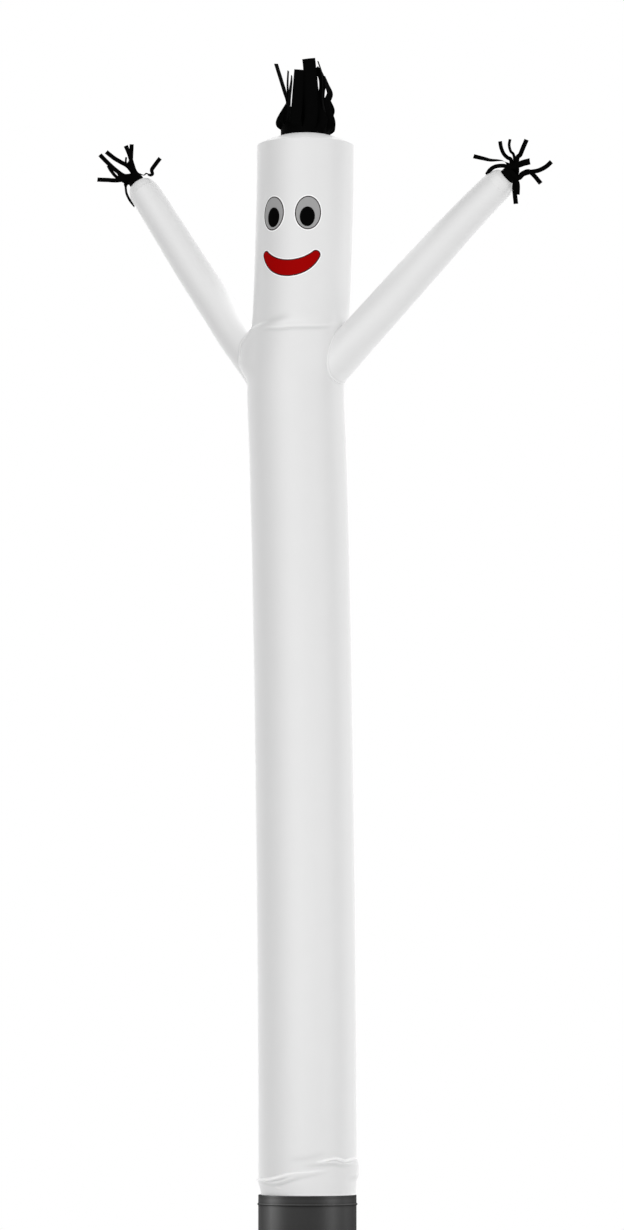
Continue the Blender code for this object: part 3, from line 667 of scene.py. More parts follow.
# Rings of points, closer together where the cloth folds, and lines of points that are closer at the lap seam.
body_heights = np.concatenate([
    np.arange(BODY_BOTTOM, 0.300, 0.005), np.arange(0.3010, 0.500, 0.0024), np.arange(0.500, 0.62, 0.012),
    np.arange(0.62, 3.92, 0.060), np.arange(3.92, 4.332, 0.012), np.arange(4.332, 4.434, 0.0026),
    np.arange(4.434, 4.62, 0.014), np.arange(4.62, BODY_TOP - 0.012, 0.030),
    [BODY_TOP - 0.012, BODY_TOP - 0.004, BODY_TOP],
])
body_rounds = np.sort(np.concatenate([
    np.linspace(0.0, 360.0, BODY_SIDES, endpoint=False), [177.4, 178.4, 178.9, 181.1, 181.6, 182.6]
]))
rounds_grid, heights_grid = np.meshgrid(body_rounds, body_heights)
body_outer, body_inner = (
    tube_points(rounds_grid, heights_grid, body_radius(rounds_grid, heights_grid) - depth)
    for depth in (0.0, BODY_CLOTH)
)
# Painted light of the creases, a painted highlight along each ridge and painted shade in each hollow, and the
# lap seam's double cloth a little whiter.
body_painted_light_and_seam = folds_and_painted_light(rounds_grid, heights_grid, "tone") + 0.10 * lap_seam(rounds_grid)

# Arm tubes: reach out from the tube axis, height, radius in the arm's upright plane, radius across it.
ARM_TWIST = math.radians(8)  # the arms sit a little round from the sides of the face
ARM_ROOT = 4.27              # the height whose axis the reach is counted from
Arm = namedtuple("Arm", "reach height tall deep")
ARM_LEFT = [
    Arm(0.136, 4.125, 0.092, 0.116), Arm(0.237, 4.262, 0.091, 0.114), Arm(0.315, 4.359, 0.088, 0.100),
    Arm(0.413, 4.502, 0.0865, 0.089), Arm(0.550, 4.700, 0.083, 0.083), Arm(0.716, 4.949, 0.0775, 0.0775),
    Arm(0.807, 5.084, 0.0745, 0.0745), Arm(0.852, 5.144, 0.0715, 0.0715),
]
ARM_RIGHT = [
    Arm(0.130, 4.150, 0.091, 0.116), Arm(0.245, 4.262, 0.090, 0.114), Arm(0.330, 4.345, 0.090, 0.102),
    Arm(0.409, 4.421, 0.0905, 0.093), Arm(0.697, 4.698, 0.086, 0.086), Arm(0.885, 4.874, 0.079, 0.079),
    Arm(1.009, 4.983, 0.0745, 0.0745), Arm(1.079, 5.040, 0.0715, 0.0715),
]
# Where the wrist is drawn in: distance from the arm's end, radius.
Wrist = namedtuple("Wrist", "before_end radius")
WRIST = [
    Wrist(0.000, 0.0410), Wrist(0.003, 0.0478), Wrist(0.008, 0.0540), Wrist(0.024, 0.0640),
    Wrist(0.050, 0.0715),
]
Station = namedtuple("Station", ("length", *Arm._fields))
Bore = namedtuple("Bore", "middle direction upward forward tall deep length")


def arm_bore(rows, side, shares):
    """An arm's middle, its directions along, upward and forward, two radii and length, at shares of it."""
    outward = np.array([math.cos(ARM_TWIST), -math.sin(ARM_TWIST), 0.0]) * side
    forward = np.array([-math.sin(ARM_TWIST), -math.cos(ARM_TWIST), 0.0])
    lengths = travelled(np.array([(row.reach, row.height) for row in rows]))
    stations = [Station(length, *row) for length, row in zip(lengths, rows)]

    def middle_at(along):
        along = np.clip(along, 0.0, lengths[-1])
        reach = flowing(stations, "reach", along)
        height = flowing(stations, "height", along)
        return np.outer(reach, outward) + np.outer(height, UP)

    along = np.array(shares) * lengths[-1]
    before = lengths[-1] - along
    closing = flowing(WRIST, "radius", before)
    tall, deep = (
        np.where(before < WRIST[-1].before_end, closing, flowing(stations, column, along))
        for column in ("tall", "deep")
    )
    root = np.array([float(axis_x(np.array(ARM_ROOT))), base_y, 0.0])
    step = 0.002
    direction = unit(middle_at(along + step) - middle_at(along - step))
    upward = np.cross(direction, forward) if side < 0 else np.cross(forward, direction)
    return Bore(root + middle_at(along), direction, upward, forward, tall, deep, lengths[-1])


def arm_ring(bore, angles, out=0.0):
    """Points at angles round an arm, on its cloth or out from it, and the way to each from its middle."""
    away = (
        bore.forward * ((bore.deep + out) * np.cos(angles))[:, None]
        + bore.upward * ((bore.tall + out) * np.sin(angles))[:, None]
    )
    return bore.middle + away, away


def inside_arm(points, rows, side, margin):
    """Whether each point lies inside an arm's bore by a margin."""
    bore = arm_bore(rows, side, np.linspace(0.0, 0.5, 60))
    inside = np.zeros(points.shape[:-1], bool)
    for middle, direction, upward, tall, deep in zip(
        bore.middle, bore.direction, bore.upward, bore.tall, bore.deep
    ):
        offset = points - middle
        slab = np.abs(offset @ direction) < 0.012
        ellipse = (offset @ upward / (tall - margin)) ** 2 + (offset @ bore.forward / (deep - margin)) ** 2
        inside |= slab & (ellipse < 1.0)
    return inside


armholes = np.zeros((len(body_heights) - 1, len(body_rounds)), bool)
for rows, side in ((ARM_LEFT, -1), (ARM_RIGHT, 1)):
    inside = inside_arm(body_outer, rows, side, 0.010)
    inside &= np.sign(body_outer[..., 0] - axis_x(heights_grid)) == side
    following = np.roll(inside, -1, axis=1)
    armholes |= inside[:-1] & inside[1:] & following[:-1] & following[1:]

# Coated nylon taffeta: a close plain weave, rolled smooth and coated, so it is white with a soft gloss. Its
# threads are drawn about four times as coarse, so that they still show.
taffeta = woven("white coated nylon taffeta", linear("#E5E5E5"), 0.32, 0.0024, 0.000003, 0.006)
round_metres = np.radians(np.concatenate([body_rounds, [360.0]])) * TUBE_RADIUS
body = cloth_mesh(
    "body_tube_cloth", taffeta, body_outer, body_inner,
    np.stack(np.meshgrid(round_metres, body_heights), axis=-1), armholes, body_painted_light_and_seam,
)
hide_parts("body_lower", "body_upper", "body_chest", "body_head")
white_thread = woven("white polyester thread", linear("#DADADA"), 0.40, 0.0004, 0.00005, 0.02)
seam_heights = np.arange(SLEEVE_HEIGHT + 0.004, BODY_TOP - 0.004, 0.01)
for name, around in (("back_seam_stitches_a", 178.9), ("back_seam_stitches_b", 181.1)):
    line = tube_points(around, seam_heights, body_radius(np.full(len(seam_heights), around), seam_heights))
    away = line - tube_points(around, seam_heights, 0.0)
    stitches(name, white_thread, line, away)

# ---------------------------------------------------------------- arms
# Each arm is a tapered sleeve of the same taffeta, sewn round a hole in the shoulder with its seam turned out
# as a low welt and stitched down, and drawn in round an open wrist where the air blows out.
ARM_SIDES = 80
WELT = 0.0030                # how far the seam at the shoulder stands up
WELT_MIDDLE = 0.0055         # how far along the arm its middle is
WELT_STITCHES = 0.0125       # and the stitches that hold it down
ARM_MIDDLE_RADIUS = 0.082    # which the weave round the arm is drawn for

for name, rows, side, lengths in (
    ("left", ARM_LEFT, -1, ("lower", "upper", "end")),
    ("right", ARM_RIGHT, 1, ("lower", "upper", "fore", "end")),
):
    # where each line along the arm comes out of the body
    fine = np.linspace(0.0, 1.0, 500)
    bore = arm_bore(rows, side, fine)
    around_arm = np.linspace(0.0, math.tau, ARM_SIDES, endpoint=False)
    starts = []
    for angle in around_arm:
        line, away = arm_ring(bore, angle)
        out_x = line[:, 0] - axis_x(line[:, 2])
        out_y = line[:, 1] - base_y
        distance = np.hypot(out_x, out_y) - body_radius(np.degrees(np.arctan2(out_x, -out_y)), line[:, 2])
        within = np.nonzero(distance < 0.0)[0][-1]
        part = distance[within] / (distance[within] - distance[within + 1])
        starts.append(fine[within] + part * (fine[within + 1] - fine[within]))
    starts = np.array(starts)
    shared = starts.max() + 0.10
    closing = 1.0 - 0.060 / bore.length
    rings = [starts + (shared - starts) * share for share in np.linspace(0.0, 1.0, 40) ** 1.4]
    rings += [np.full(ARM_SIDES, share) for share in np.linspace(shared, closing, 50)[1:]]
    rings += [np.full(ARM_SIDES, share) for share in np.linspace(closing, 1.0, 36)[1:]]
    rings = np.array(rings)
    from_body = (rings - starts) * bore.length
    to_end = (1.0 - rings) * bore.length
    welt = WELT * on_line(from_body, WELT_MIDDLE, 0.0035)
    bores = [arm_bore(rows, side, shares) for shares in rings]
    outer, inner = (
        np.array([arm_ring(ring, around_arm, stand - inset)[0] for ring, stand in zip(bores, welt)])
        for inset in (0.0, BODY_CLOTH)
    )
    across = np.concatenate([around_arm, [math.tau]]) * ARM_MIDDLE_RADIUS
    across = np.broadcast_to(across, (len(rings), ARM_SIDES + 1))
    along = np.concatenate([rings, rings[:, :1]], axis=1) * bore.length
    # Painted light on each arm: a painted highlight on the welt and painted shade at its stitches, and a
    # painted highlight at the wrist's rim with painted shade just inside it.
    painted_light = (
        0.45 * on_line(from_body, 0.0060, 0.0030) - 0.30 * on_line(from_body, WELT_STITCHES, 0.0040)
        + 0.30 * on_line(to_end, 0.0, 0.004) - 0.15 * on_line(to_end, 0.012, 0.004)
    )
    arm = cloth_mesh(
        "arm_" + name + "_cloth", taffeta, outer, inner, np.stack([across, along], axis=-1), painted_light=painted_light
    )
    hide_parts(*("arm_" + name + "_" + length for length in lengths))
    if side < 0:
        edge = Vector((float(axis_x(np.array(4.42))) - 0.29, base_y, 4.42))
        softbox("wash left edge", [arm], edge, (0.20, 0.02, 0.17), 0.10, 0.42)
    else:
        edge = Vector((base_x + 0.60, base_y, 4.60))
        softbox("wash right edge", [arm], edge, (-0.35, 0.05, 0.35), 0.40, 0.3)
    line, away = arm_ring(arm_bore(rows, side, starts + WELT_STITCHES / bore.length), around_arm)
    line, away = (np.concatenate([ring, ring[:1]]) for ring in (line, away))
    stitches("arm_" + name + "_seam_stitches", white_thread, line, away)
    long_seam = np.linspace(starts.max() + 0.04, 0.985, 120)
    line, away = arm_ring(arm_bore(rows, side, long_seam), math.radians(240))
    stitches("arm_" + name + "_long_stitches", white_thread, line, away)

# ---------------------------------------------------------------- top panel
# A flat ring of taffeta sewn to the tube's upper edge with its seam inside. The air lifts it to a low dome,
# and the vent in its middle lets the air out between the strips of hair.
DOME_RISE = 0.061
VENT_RADIUS = 0.120
PANEL_LIFT = 0.0013
panel_radii = np.concatenate([
    [TUBE_RADIUS - 0.0004, TUBE_RADIUS - 0.0002], np.linspace(TUBE_RADIUS - 0.0010, VENT_RADIUS, 26)
])
panel_heights = BODY_TOP + PANEL_LIFT + DOME_RISE * (1.0 - (panel_radii / TUBE_RADIUS) ** 2)
panel_heights[0] = BODY_TOP + 0.0004
panel_heights[1] = BODY_TOP + 0.0016
panel_angles = np.linspace(0.0, math.tau, BODY_SIDES, endpoint=False)
panel_x = float(axis_x(np.array(BODY_TOP)))
panel_outer, panel_inner = (
    round_axis(panel_x, panel_angles, (panel_radii - inset)[:, None], (panel_heights - depth)[:, None])
    for inset, depth in ((0.0, 0.0), (0.0004, BODY_CLOTH))
)
panel_across = np.stack(np.meshgrid(
    np.linspace(0.0, math.pi * (TUBE_RADIUS + VENT_RADIUS), BODY_SIDES + 1), TUBE_RADIUS - panel_radii
), axis=-1)
# Painted light on the dome: a strong painted highlight round the vent's edge next to the hair, and a faint
# one at the seam round its outer edge.
panel_painted_light = 0.90 * on_line(panel_radii, VENT_RADIUS + 0.002, 0.006)
panel_painted_light += 0.20 * on_line(panel_radii, TUBE_RADIUS, 0.004)
panel = cloth_mesh(
    "head_top_cloth", taffeta, panel_outer, panel_inner, panel_across,
    painted_light=np.repeat(panel_painted_light[:, None], BODY_SIDES, axis=1),
)
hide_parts("head_top")
softbox("wash dome", [panel], Vector((panel_x, base_y, BODY_TOP)), (0.0, 0.35, 0.35), 0.20, 0.5)

# ---------------------------------------------------------------- face patches
# Eyes, pupils and smile are cut from coloured nylon and sewn on flat: grey ovals with black ovals over them,
# and a deep red smile. Eyes and smile have a close dark zigzag round the edge and a narrow white rim.
PATCH_CLOTH = 0.0010
PATCH_LIFT = 0.0005          # of a patch's underside above the tube
PUPIL_LIFT = PATCH_LIFT + PATCH_CLOTH + 0.0005
MOUTH_LIFT = PATCH_LIFT + 0.0005
PATCH_ROWS = 20              # points across each cut of a patch
OVAL_CUTS = 64
BAND_CUTS = 120              # along the smile, and then at each of its round ends
END_CUTS = 13
EDGE_STEP = 0.0025           # between the points of a patch's edge
Oval = namedtuple("Oval", "name arc level width height")
EYES = [Oval("eye_left", -0.0910, 4.911, 0.116, 0.157), Oval("eye_right", 0.0862, 4.907, 0.120, 0.155)]
PUPILS = [Oval("pupil_left", -0.0870, 4.892, 0.067, 0.094), Oval("pupil_right", 0.0830, 4.889, 0.071, 0.093)]
MOUTH_ARC = 0.0034           # middle of the smile's band, along the cloth
MOUTH_LEVEL = 4.6465
MOUTH_RADIUS = 0.1596        # of the curve along the band's middle
MOUTH_HALF = 0.0375          # half the band's height in its middle
MOUTH_TAPER = 0.0202         # loss of that for each radian squared along the curve
MOUTH_ENDS = (math.radians(-55.9), math.radians(52.1))


def face_point(arc, level, lift):
    """A point on the face: arc along the cloth from its middle, height, and lift above the cloth."""
    return tube_points(np.degrees(arc / TUBE_RADIUS), level, TUBE_RADIUS + lift)


def oval_columns(oval):
    """Columns of an oval patch: arc and height of its lower end, then of its upper end."""
    across = -np.cos(math.pi * np.linspace(0.012, 0.988, OVAL_CUTS))
    half = 0.5 * oval.height * np.sqrt(1.0 - across ** 2)
    arc = oval.arc + 0.5 * oval.width * across
    return np.stack([arc, oval.level - half, arc, oval.level + half], axis=1)


def mouth_columns():
    """Columns of the smile: cuts across a curved band that tapers to round ends."""
    caps = np.radians(np.linspace(0.0, 87.0, END_CUTS + 1))[1:]
    turn = np.concatenate([
        np.full(END_CUTS, MOUTH_ENDS[0]), np.linspace(*MOUTH_ENDS, BAND_CUTS),
        np.full(END_CUTS, MOUTH_ENDS[1]),
    ])
    band_half = MOUTH_HALF - MOUTH_TAPER * turn ** 2
    half = band_half * np.concatenate([np.cos(caps[::-1]), np.ones(BAND_CUTS), np.cos(caps)])
    along = band_half * np.concatenate([-np.sin(caps[::-1]), np.zeros(BAND_CUTS), np.sin(caps)])
    arc = MOUTH_ARC + MOUTH_RADIUS * np.sin(turn) + along * np.cos(turn)
    level = MOUTH_LEVEL + MOUTH_RADIUS * (1.0 - np.cos(turn)) + along * np.sin(turn)
    return np.stack([
        arc + half * np.sin(turn), level - half * np.cos(turn),
        arc - half * np.sin(turn), level + half * np.cos(turn),
    ], axis=1)


def patch(name, material, columns, lift):
    """A flat patch of cloth on the face."""
    shares = np.linspace(0.0, 1.0, PATCH_ROWS)
    arcs = columns[:, 0:1] + (columns[:, 2:3] - columns[:, 0:1]) * shares
    levels = columns[:, 1:2] + (columns[:, 3:4] - columns[:, 1:2]) * shares
    lower, upper = (face_point(arcs, levels, lift + depth) for depth in (0.0, PATCH_CLOTH))
    # a patch is no ring, so the cells that would join its last points to its first are left out
    beyond = np.zeros((len(columns) - 1, PATCH_ROWS), bool)
    beyond[:, -1] = True
    return cloth_mesh(name, material, lower, upper, np.stack([arcs, levels], axis=-1), beyond)


def outline(columns):
    """Evenly spaced points round a patch's edge, anticlockwise as seen from in front, and its length."""
    edge = np.concatenate([columns[:, :2], columns[::-1, 2:], columns[:1, :2]])
    along = travelled(edge)
    at = np.linspace(0.0, along[-1], int(along[-1] / EDGE_STEP), endpoint=False)
    return read_line(at, along, edge), along[-1]


def edging(name, material, columns, profile):
    """A band swept round a patch's edge. The profile has each corner's distance outwards and its lift."""
    points, length = outline(columns)
    tangent = np.roll(points, -1, axis=0) - np.roll(points, 1, axis=0)
    for _ in range(3):
        tangent = (tangent + np.roll(tangent, 1, axis=0) + np.roll(tangent, -1, axis=0)) / 3.0
    tangent = unit(tangent)
    outwards = np.stack([tangent[:, 1], -tangent[:, 0]], axis=1)
    grid = np.array([face_point(*(points + outwards * out).T, lift) for out, lift in profile])
    half = len(profile) // 2
    along = np.linspace(0.0, length, len(points) + 1)
    metres = np.stack(np.meshgrid(along, [out for out, _ in profile[:half]]), axis=-1)
    return cloth_mesh(name, material, grid[:half], grid[half:][::-1], metres)


# Dyed nylon: the same weave in grey, black and red. The zigzag is polyester thread, close and a little shiny.
grey_nylon = woven("grey dyed nylon", linear("#A0A0A0"), 0.50, 0.0012, 0.00001, 0.02, 1.25)
black_nylon = woven("black dyed nylon", linear("#030303"), 0.80, 0.0012, 0.00001, 0.02, 1.1)
red_nylon = woven("deep red dyed nylon", linear("#9C0000"), 0.60, 0.0012, 0.00001, 0.02, 1.1)
white_rim = woven("white nylon rim", linear("#FDFDFD"), 0.40, 0.0012, 0.00001, 0.01)
eye_thread = woven("dark grey zigzag thread", linear("#2E2626"), 0.45, 0.0006, 0.0001, 0.05, 1.3)
mouth_thread = woven("dark red zigzag thread", linear("#3A0408"), 0.45, 0.0006, 0.0001, 0.05, 1.3)

ZIGZAG = [
    (-0.0028, 0.0014), (-0.0016, 0.0020), (0.0000, 0.0022), (0.0014, 0.0019), (0.0022, 0.0012),
    (0.0022, 0.0008), (0.0014, 0.0008), (0.0000, 0.0016), (-0.0016, 0.0016), (-0.0028, 0.0016),
]
RIM = [
    (-0.0030, 0.0007), (0.0062, 0.0007), (0.0078, 0.0006),
    (0.0078, 0.0001), (0.0062, 0.0001), (-0.0030, 0.0001),
]
for eye, pupil in zip(EYES, PUPILS):
    columns = oval_columns(eye)
    cloth = patch(eye.name + "_cloth", grey_nylon, columns, PATCH_LIFT)
    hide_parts(eye.name)
    edging(eye.name + "_zigzag", eye_thread, columns, ZIGZAG)
    edging(eye.name + "_rim", white_rim, columns, RIM)
    cloth = patch(pupil.name + "_cloth", black_nylon, oval_columns(pupil), PUPIL_LIFT)
    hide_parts(pupil.name)
smile = mouth_columns()
mouth = patch("mouth_cloth", red_nylon, smile, MOUTH_LIFT)
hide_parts("mouth")
edging("mouth_zigzag", mouth_thread, smile, [(out, lift + MOUTH_LIFT - PATCH_LIFT) for out, lift in ZIGZAG])
edging("mouth_rim", white_rim, smile, RIM)

# ---------------------------------------------------------------- hair
# A ring of black nylon tape sewn into the vent and cut into strips that the air blows upwards. They flare out
# above the vent, are drawn together and then stand apart at their tips.
STRIP_CLOTH = 0.0009
STRIP_SETTLE = 0.034         # a strip has its own width and facing this far from its root
STRIP_STEPS = 8              # between two points of a strip's path
HAIR_RING_RADIUS = 0.1172
# Place round the vent from the front corner, width, how far the strip is turned from facing that corner near
# its root and at its tip, and its path: sideways, forwards and up from the vent's middle.
Strand = namedtuple("Strand", "around width turn tip_turn path")
HAIRS = [
    Strand(-90, 0.050, 0, 0, [(-0.1165, 0.020, 0.066), (-0.1040, 0.020, 0.094), (-0.0720, 0.020, 0.146)]),
    Strand(-76, 0.050, 0, 0, [(-0.1000, 0.045, 0.062), (-0.0850, 0.045, 0.100), (-0.0680, 0.045, 0.138)]),
    Strand(-62, 0.036, 58, 58, [
        (-0.1000, 0.055, 0.066), (-0.0829, 0.040, 0.150), (-0.1004, 0.036, 0.2165), (-0.1402, 0.034, 0.3467),
    ]),
    Strand(-50, 0.026, 58, 74, [
        (-0.0950, 0.075, 0.066), (-0.0834, 0.055, 0.1575), (-0.0850, 0.050, 0.243), (-0.0819, 0.050, 0.310),
    ]),
    Strand(-38, 0.036, 50, 82, [
        (-0.0800, 0.095, 0.066), (-0.0780, 0.080, 0.160), (-0.0715, 0.075, 0.215), (-0.0665, 0.075, 0.255),
        (-0.0653, 0.075, 0.283),
    ]),
    Strand(-22, 0.053, 0, 0, [
        (-0.0460, 0.118, 0.066), (-0.0400, 0.095, 0.141), (-0.0335, 0.085, 0.227), (-0.0267, 0.078, 0.310),
    ]),
    Strand(8, 0.062, 0, 0, [
        (0.0260, 0.118, 0.066), (0.0260, 0.100, 0.150), (0.0235, 0.085, 0.240), (0.0195, 0.078, 0.323),
        (0.0153, 0.075, 0.364),
    ]),
    Strand(36, 0.050, 0, 0, [
        (0.0800, 0.088, 0.066), (0.0530, 0.065, 0.140), (0.0370, 0.052, 0.222), (0.0320, 0.050, 0.280),
        (0.0260, 0.050, 0.322),
    ]),
    Strand(50, 0.024, 58, 74, [
        (0.0960, 0.075, 0.066), (0.0820, 0.060, 0.160), (0.0840, 0.050, 0.240), (0.0784, 0.050, 0.296),
        (0.0594, 0.050, 0.357),
    ]),
    Strand(62, 0.030, 0, 0, [
        (0.1080, 0.062, 0.066), (0.0850, 0.050, 0.120), (0.0765, 0.045, 0.180), (0.0800, 0.040, 0.235),
        (0.0770, 0.040, 0.275), (0.0640, 0.040, 0.305), (0.0480, 0.040, 0.325),
    ]),
    Strand(76, 0.040, 15, 60, [
        (0.1160, 0.040, 0.066), (0.1080, 0.030, 0.120), (0.1040, 0.030, 0.165), (0.1165, 0.030, 0.204),
        (0.1010, 0.030, 0.245), (0.0840, 0.030, 0.289),
    ]),
    Strand(95, 0.045, 0, 0, [
        (0.1210, 0.000, 0.066), (0.1125, 0.000, 0.102), (0.1170, 0.000, 0.129), (0.1000, 0.000, 0.168),
    ]),
    Strand(117, 0.050, 0, 0, [(0.0980, -0.060, 0.070), (0.0750, -0.045, 0.130), (0.0600, -0.040, 0.170)]),
    Strand(139, 0.050, 0, 0, [(0.0700, -0.100, 0.070), (0.0450, -0.085, 0.170), (0.0300, -0.080, 0.270)]),
    Strand(161, 0.050, 0, 0, [(0.0350, -0.125, 0.070), (0.0220, -0.100, 0.160), (0.0180, -0.095, 0.255)]),
    Strand(183, 0.050, 0, 0, [(-0.0050, -0.130, 0.070), (-0.0040, -0.110, 0.160), (-0.0020, -0.095, 0.275)]),
    Strand(205, 0.050, 0, 0, [(-0.0420, -0.120, 0.070), (-0.0320, -0.105, 0.150), (-0.0260, -0.090, 0.235)]),
    Strand(227, 0.050, 0, 0, [(-0.0780, -0.090, 0.068), (-0.0480, -0.080, 0.130), (-0.0380, -0.075, 0.180)]),
    Strand(249, 0.050, 0, 0, [(-0.1000, -0.045, 0.066), (-0.0800, -0.040, 0.100), (-0.0680, -0.040, 0.125)]),
]


def through(points, steps):
    """Points on a smooth curve through the given points, with some steps between each two."""
    ends = [points[0] * 2.0 - points[1]] + list(points) + [points[-1] * 2.0 - points[-2]]
    curve = []
    for a, b, c, d in zip(ends, ends[1:], ends[2:], ends[3:]):
        for step in range(steps):
            t = step / steps
            curve.append(
                0.5 * (2.0 * b + (c - a) * t + (2.0 * a - 5.0 * b + 4.0 * c - d) * t * t
                       + (3.0 * b - a - 3.0 * c + d) * t * t * t)
            )
    curve.append(points[-1].copy())
    return curve


# Black nylon cut from the roll: unsewn edges and hardly any gloss, so it reads as solid black.
fringe_nylon = woven("black fringe nylon", linear("#030303"), 0.80, 0.0012, 0.00001, 0.05, 1.1)


def comb(name, middle, axes, radius, low, high, lean, strands):
    """One comb of strips cut from a ring of tape, and the area of its cloth.

    The band goes from low up to high, where the slits end, or lower by the lean at the ring's upward side.
    Each strip's root takes its share of the ring. Its path is in metres in the scene.
    """
    across, upward, along = axes
    mesh_data = bmesh.new()
    used = mesh_data.loops.layers.uv.new("cloth")
    strands = sorted(strands, key=lambda strand: strand.around % 360.0)
    area = math.tau * radius * (high - low)

    def add_face(corners, places):
        for loop, place_at in zip(mesh_data.faces.new(corners).loops, places):
            loop[used].uv = place_at

    def out_at(angle):
        return across * math.cos(angle) + upward * math.sin(angle)

    def band_rise(angle, share):
        return low + (high - lean * math.sin(angle) - low) * share

    arounds = [math.radians(strand.around % 360.0) for strand in strands]
    edges = [0.5 * (a + b) for a, b in zip(arounds, arounds[1:] + [arounds[0] + math.tau])]
    edges = [edges[-1] - math.tau] + edges
    rim = [start + (stop - start) * step / 4 for start, stop in zip(edges, edges[1:]) for step in range(4)]
    shares = (0.0, 0.5, 1.0)
    levels = [
        [
            mesh_data.verts.new(middle + out_at(angle) * radius + along * band_rise(angle, share))
            for angle in rim
        ]
        for share in shares
    ]
    for lower, higher, bottom, top in zip(levels, levels[1:], shares, shares[1:]):
        for index, angle in enumerate(rim):
            after = (index + 1) % len(rim)
            end = rim[after] + (math.tau if after == 0 else 0.0)
            places = ((angle, bottom), (end, bottom), (end, top), (angle, top))
            add_face(
                (lower[index], lower[after], higher[after], higher[index]),
                [(at * radius, band_rise(at, share)) for at, share in places],
            )
    for index, strand in enumerate(strands):
        row = [levels[-1][(4 * index + step) % len(rim)] for step in range(5)]
        root = row[-1].co - row[0].co
        before = root.normalized()
        outward = out_at(arounds[index])
        points = through([0.5 * (row[0].co + row[-1].co)] + strand.path, STRIP_STEPS)
        gone = 0.0
        sign = 0.0
        for step in range(1, len(points)):
            tangent = (points[min(step + 1, len(points) - 1)] - points[step - 1]).normalized()
            advance = (points[step] - points[step - 1]).length
            flat_front = (towards - tangent * towards.dot(tangent)).normalized()
            turned = math.radians(strand.turn + (strand.tip_turn - strand.turn) * step / (len(points) - 1))
            facing = flat_front * math.cos(turned) + tangent.cross(flat_front) * math.sin(turned)
            if sign == 0.0:
                sign = -1.0 if facing.dot(outward) < 0.0 else 1.0
            settled = smooth(np.array((gone + advance) / STRIP_SETTLE)).item()
            normal = (outward * (1.0 - settled) + facing * (sign * settled)).normalized()
            across_strip = normal.cross(tangent).normalized()
            if across_strip.dot(before) < 0.0:
                across_strip.negate()
            before = across_strip
            width = root.length + (strand.width - root.length) * settled
            bow = normal * (0.06 * width * math.sin(2.0 * step / len(points) + index))
            new_row = []
            for share in (0.0, 0.25, 0.5, 0.75, 1.0):
                bowed = bow * (1.0 - (2.0 * share - 1.0) ** 2)
                point = points[step] + across_strip * (width * (share - 0.5)) + bowed
                new_row.append(mesh_data.verts.new(point))
            left = rim[4 * index] * radius
            rise = band_rise(arounds[index], 1.0) + gone
            for column in range(4):
                u, v = left + width * column / 4, left + width * (column + 1) / 4
                add_face(
                    (row[column], row[column + 1], new_row[column + 1], new_row[column]),
                    ((u, rise), (v, rise), (v, rise + advance), (u, rise + advance)),
                )
            area += width * advance
            gone += advance
            row = new_row
    mesh = bpy.data.meshes.new(name)
    mesh_data.to_mesh(mesh)
    mesh_data.free()
    piece = sewn(name, mesh, fringe_nylon, sharp=60)
    thickness = piece.modifiers.new("cloth", "SOLIDIFY")
    thickness.thickness = STRIP_CLOTH
    thickness.offset = 0.0
    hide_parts(name.replace("_strips", ""))
    return piece, area


vent_height = BODY_TOP + DOME_RISE * (1.0 - (VENT_RADIUS / TUBE_RADIUS) ** 2)
head_middle = Vector((panel_x, base_y, vent_height))
hair_strands = [
    row._replace(path=[head_middle + sideways * u + towards * d + UP * rise for u, d, rise in row.path])
    for row in HAIRS
]
hair, hair_area = comb(
    "hair_strips", head_middle, (towards, sideways, UP), HAIR_RING_RADIUS, low=-0.016, high=0.025, lean=0.017,
    strands=hair_strands,
)

# ---------------------------------------------------------------- hand fringes
# The same black nylon, cut into narrower strips on a ring of tape inside each wrist. They fan out in the air
# that leaves the arm, some of them curling right over.
HAND_RING_RADIUS = 0.0375
# Place round the wrist from its front upwards, width, how far the strip is turned from facing the front
# corner near its root and at its tip, how far in front of the arm's middle its tip is, and its path as it is
# seen from that corner: outwards along the arm's reach and up from the wrist's middle.
Finger = namedtuple("Finger", "around width turn tip_turn forward path")
HAND_LEFT = [
    Finger(-4, 0.021, 0, 0, 0.030, [(0.107, 0.027), (0.168, 0.033), (0.217, 0.038)]),
    Finger(38, 0.021, 0, 0, 0.040, [(0.073, 0.046), (0.122, 0.079), (0.166, 0.118), (0.204, 0.156)]),
    Finger(78, 0.021, 0, 0, 0.012, [(0.018, 0.064), (0.035, 0.108), (0.049, 0.152), (0.066, 0.189)]),
    Finger(105, 0.020, 112, 0, 0.004, [
        (-0.029, 0.042), (-0.044, 0.047), (-0.056, 0.041), (-0.067, 0.039), (-0.077, 0.045), (-0.073, 0.062),
        (-0.083, 0.078), (-0.116, 0.115),
    ]),
    Finger(124, 0.011, 40, 40, -0.010, [(0.048, 0.082), (0.067, 0.110), (0.066, 0.132)]),
    Finger(146, 0.02, 0, 0, -0.025, [(0.052, 0.088), (0.042, 0.115), (0.039, 0.151), (0.037, 0.193)]),
    Finger(182, 0.021, 0, 0, -0.034, [(0.053, 0.086), (0.100, 0.116), (0.134, 0.137), (0.173, 0.168)]),
    Finger(218, 0.016, 0, 0, -0.030, [(0.108, 0.036), (0.146, 0.072), (0.163, 0.099)]),
    Finger(252, 0.027, 0, 0, -0.050, [(0.078, 0.024), (0.093, 0.042), (0.100, 0.057)]),
    Finger(286, 0.021, 60, 60, 0.010, [
        (0.066, 0.003), (0.066, -0.025), (0.059, -0.050), (0.042, -0.079), (0.021, -0.103),
    ]),
    Finger(320, 0.027, 0, 0, 0.060, [(0.070, 0.024), (0.088, 0.040), (0.100, 0.048)]),
]
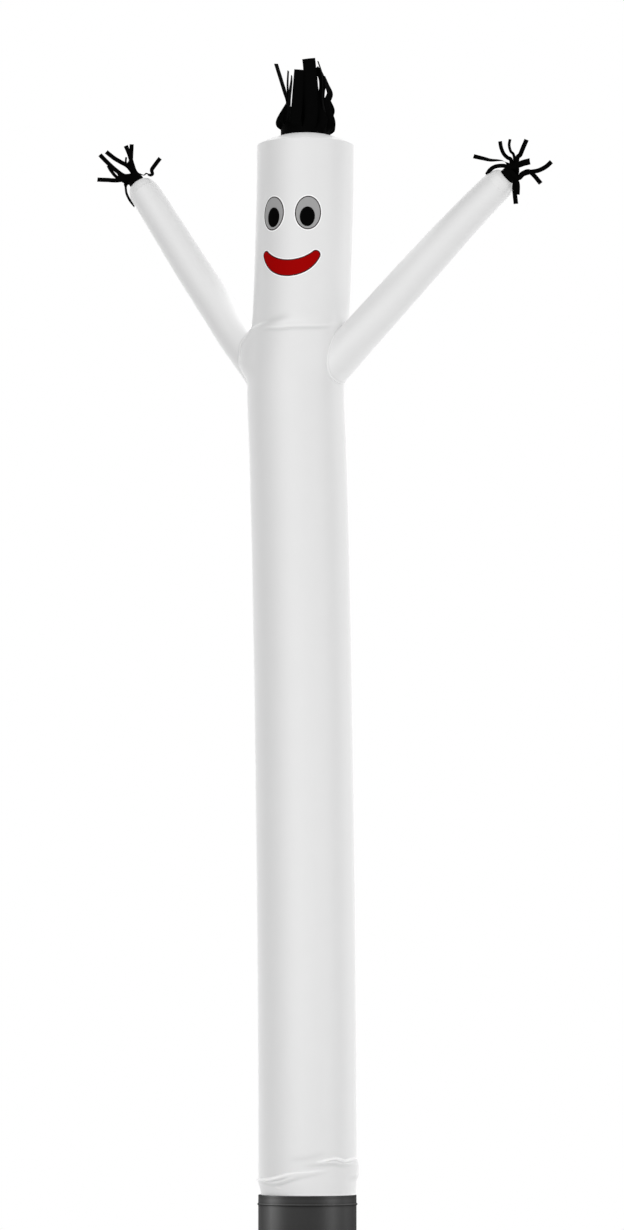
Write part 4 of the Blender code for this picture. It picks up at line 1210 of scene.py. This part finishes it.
HAND_RIGHT = [
    Finger(-4, 0.021, 0, 0, 0.026, [
        (0.056, -0.009), (0.082, 0.007), (0.120, 0.015), (0.158, 0.019), (0.196, 0.034), (0.221, 0.053),
    ]),
    Finger(34, 0.03, 0, 0, 0.046, [(0.063, 0.055), (0.082, 0.060), (0.112, 0.065)]),
    Finger(66, 0.0195, 0, 0, 0.050, [
        (0.000, 0.051), (-0.029, 0.055), (-0.061, 0.053), (-0.086, 0.040), (-0.101, 0.021),
    ]),
    Finger(106, 0.0205, 110, 0, 0.010, [
        (0.000, 0.063), (-0.019, 0.076), (-0.045, 0.081), (-0.083, 0.085), (-0.121, 0.096), (-0.165, 0.109),
    ]),
    Finger(142, 0.018, 0, 0, -0.025, [
        (0.022, 0.079), (0.006, 0.089), (-0.013, 0.108), (-0.027, 0.139), (-0.032, 0.166),
    ]),
    Finger(176, 0.013, 0, 0, -0.036, [(0.038, 0.096), (0.022, 0.118), (0.014, 0.148), (0.018, 0.172)]),
    Finger(210, 0.0215, 0, 0, -0.045, [(0.054, 0.080), (0.070, 0.099), (0.085, 0.131), (0.101, 0.164)]),
    Finger(246, 0.021, 0, 0, -0.028, [(0.060, 0.000), (0.105, 0.018), (0.132, 0.003), (0.170, -0.041)]),
    Finger(284, 0.0215, 0, 0, 0.006, [(0.041, -0.032), (0.038, -0.061), (0.045, -0.127)]),
    Finger(320, 0.019, 0, 0, 0.045, [(0.053, -0.033), (0.053, -0.083)]),
]
# The way towards someone who looks up at the hands: strips that lean along it fan out in depth.
nearer = (towards * 0.982 - UP * 0.187).normalized()
TIP = 0.004                  # how far a strip goes on past the last point of its path
for name, fingers, rows, side in (("left", HAND_LEFT, ARM_LEFT, -1), ("right", HAND_RIGHT, ARM_RIGHT, 1)):
    bore = arm_bore(rows, side, [1.0])
    end, along, up_arm = (Vector(along_arm[0]) for along_arm in (bore.middle, bore.direction, bore.upward))
    front = Vector(bore.forward)
    outward = Vector((math.cos(ARM_TWIST), -math.sin(ARM_TWIST), 0.0)) * side
    strands = []
    for row in fingers:
        root_forward = HAND_RING_RADIUS * math.cos(math.radians(row.around))
        path = []
        for index, (reach, lift) in enumerate(row.path):
            share = (index + 1) / len(row.path)
            ahead_by = root_forward + (row.forward - root_forward) * share
            path.append(end + outward * reach + UP * lift + nearer * ahead_by)
        path[-1] += (path[-1] - path[-2]).normalized() * TIP
        strands.append(Strand(row.around, row.width, row.turn, row.tip_turn, path))
    fringe, fringe_area = comb(
        "fringe_" + name + "_strips", end, (front, up_arm, along), HAND_RING_RADIUS, low=-0.010, high=0.036,
        lean=0.0, strands=strands,
    )
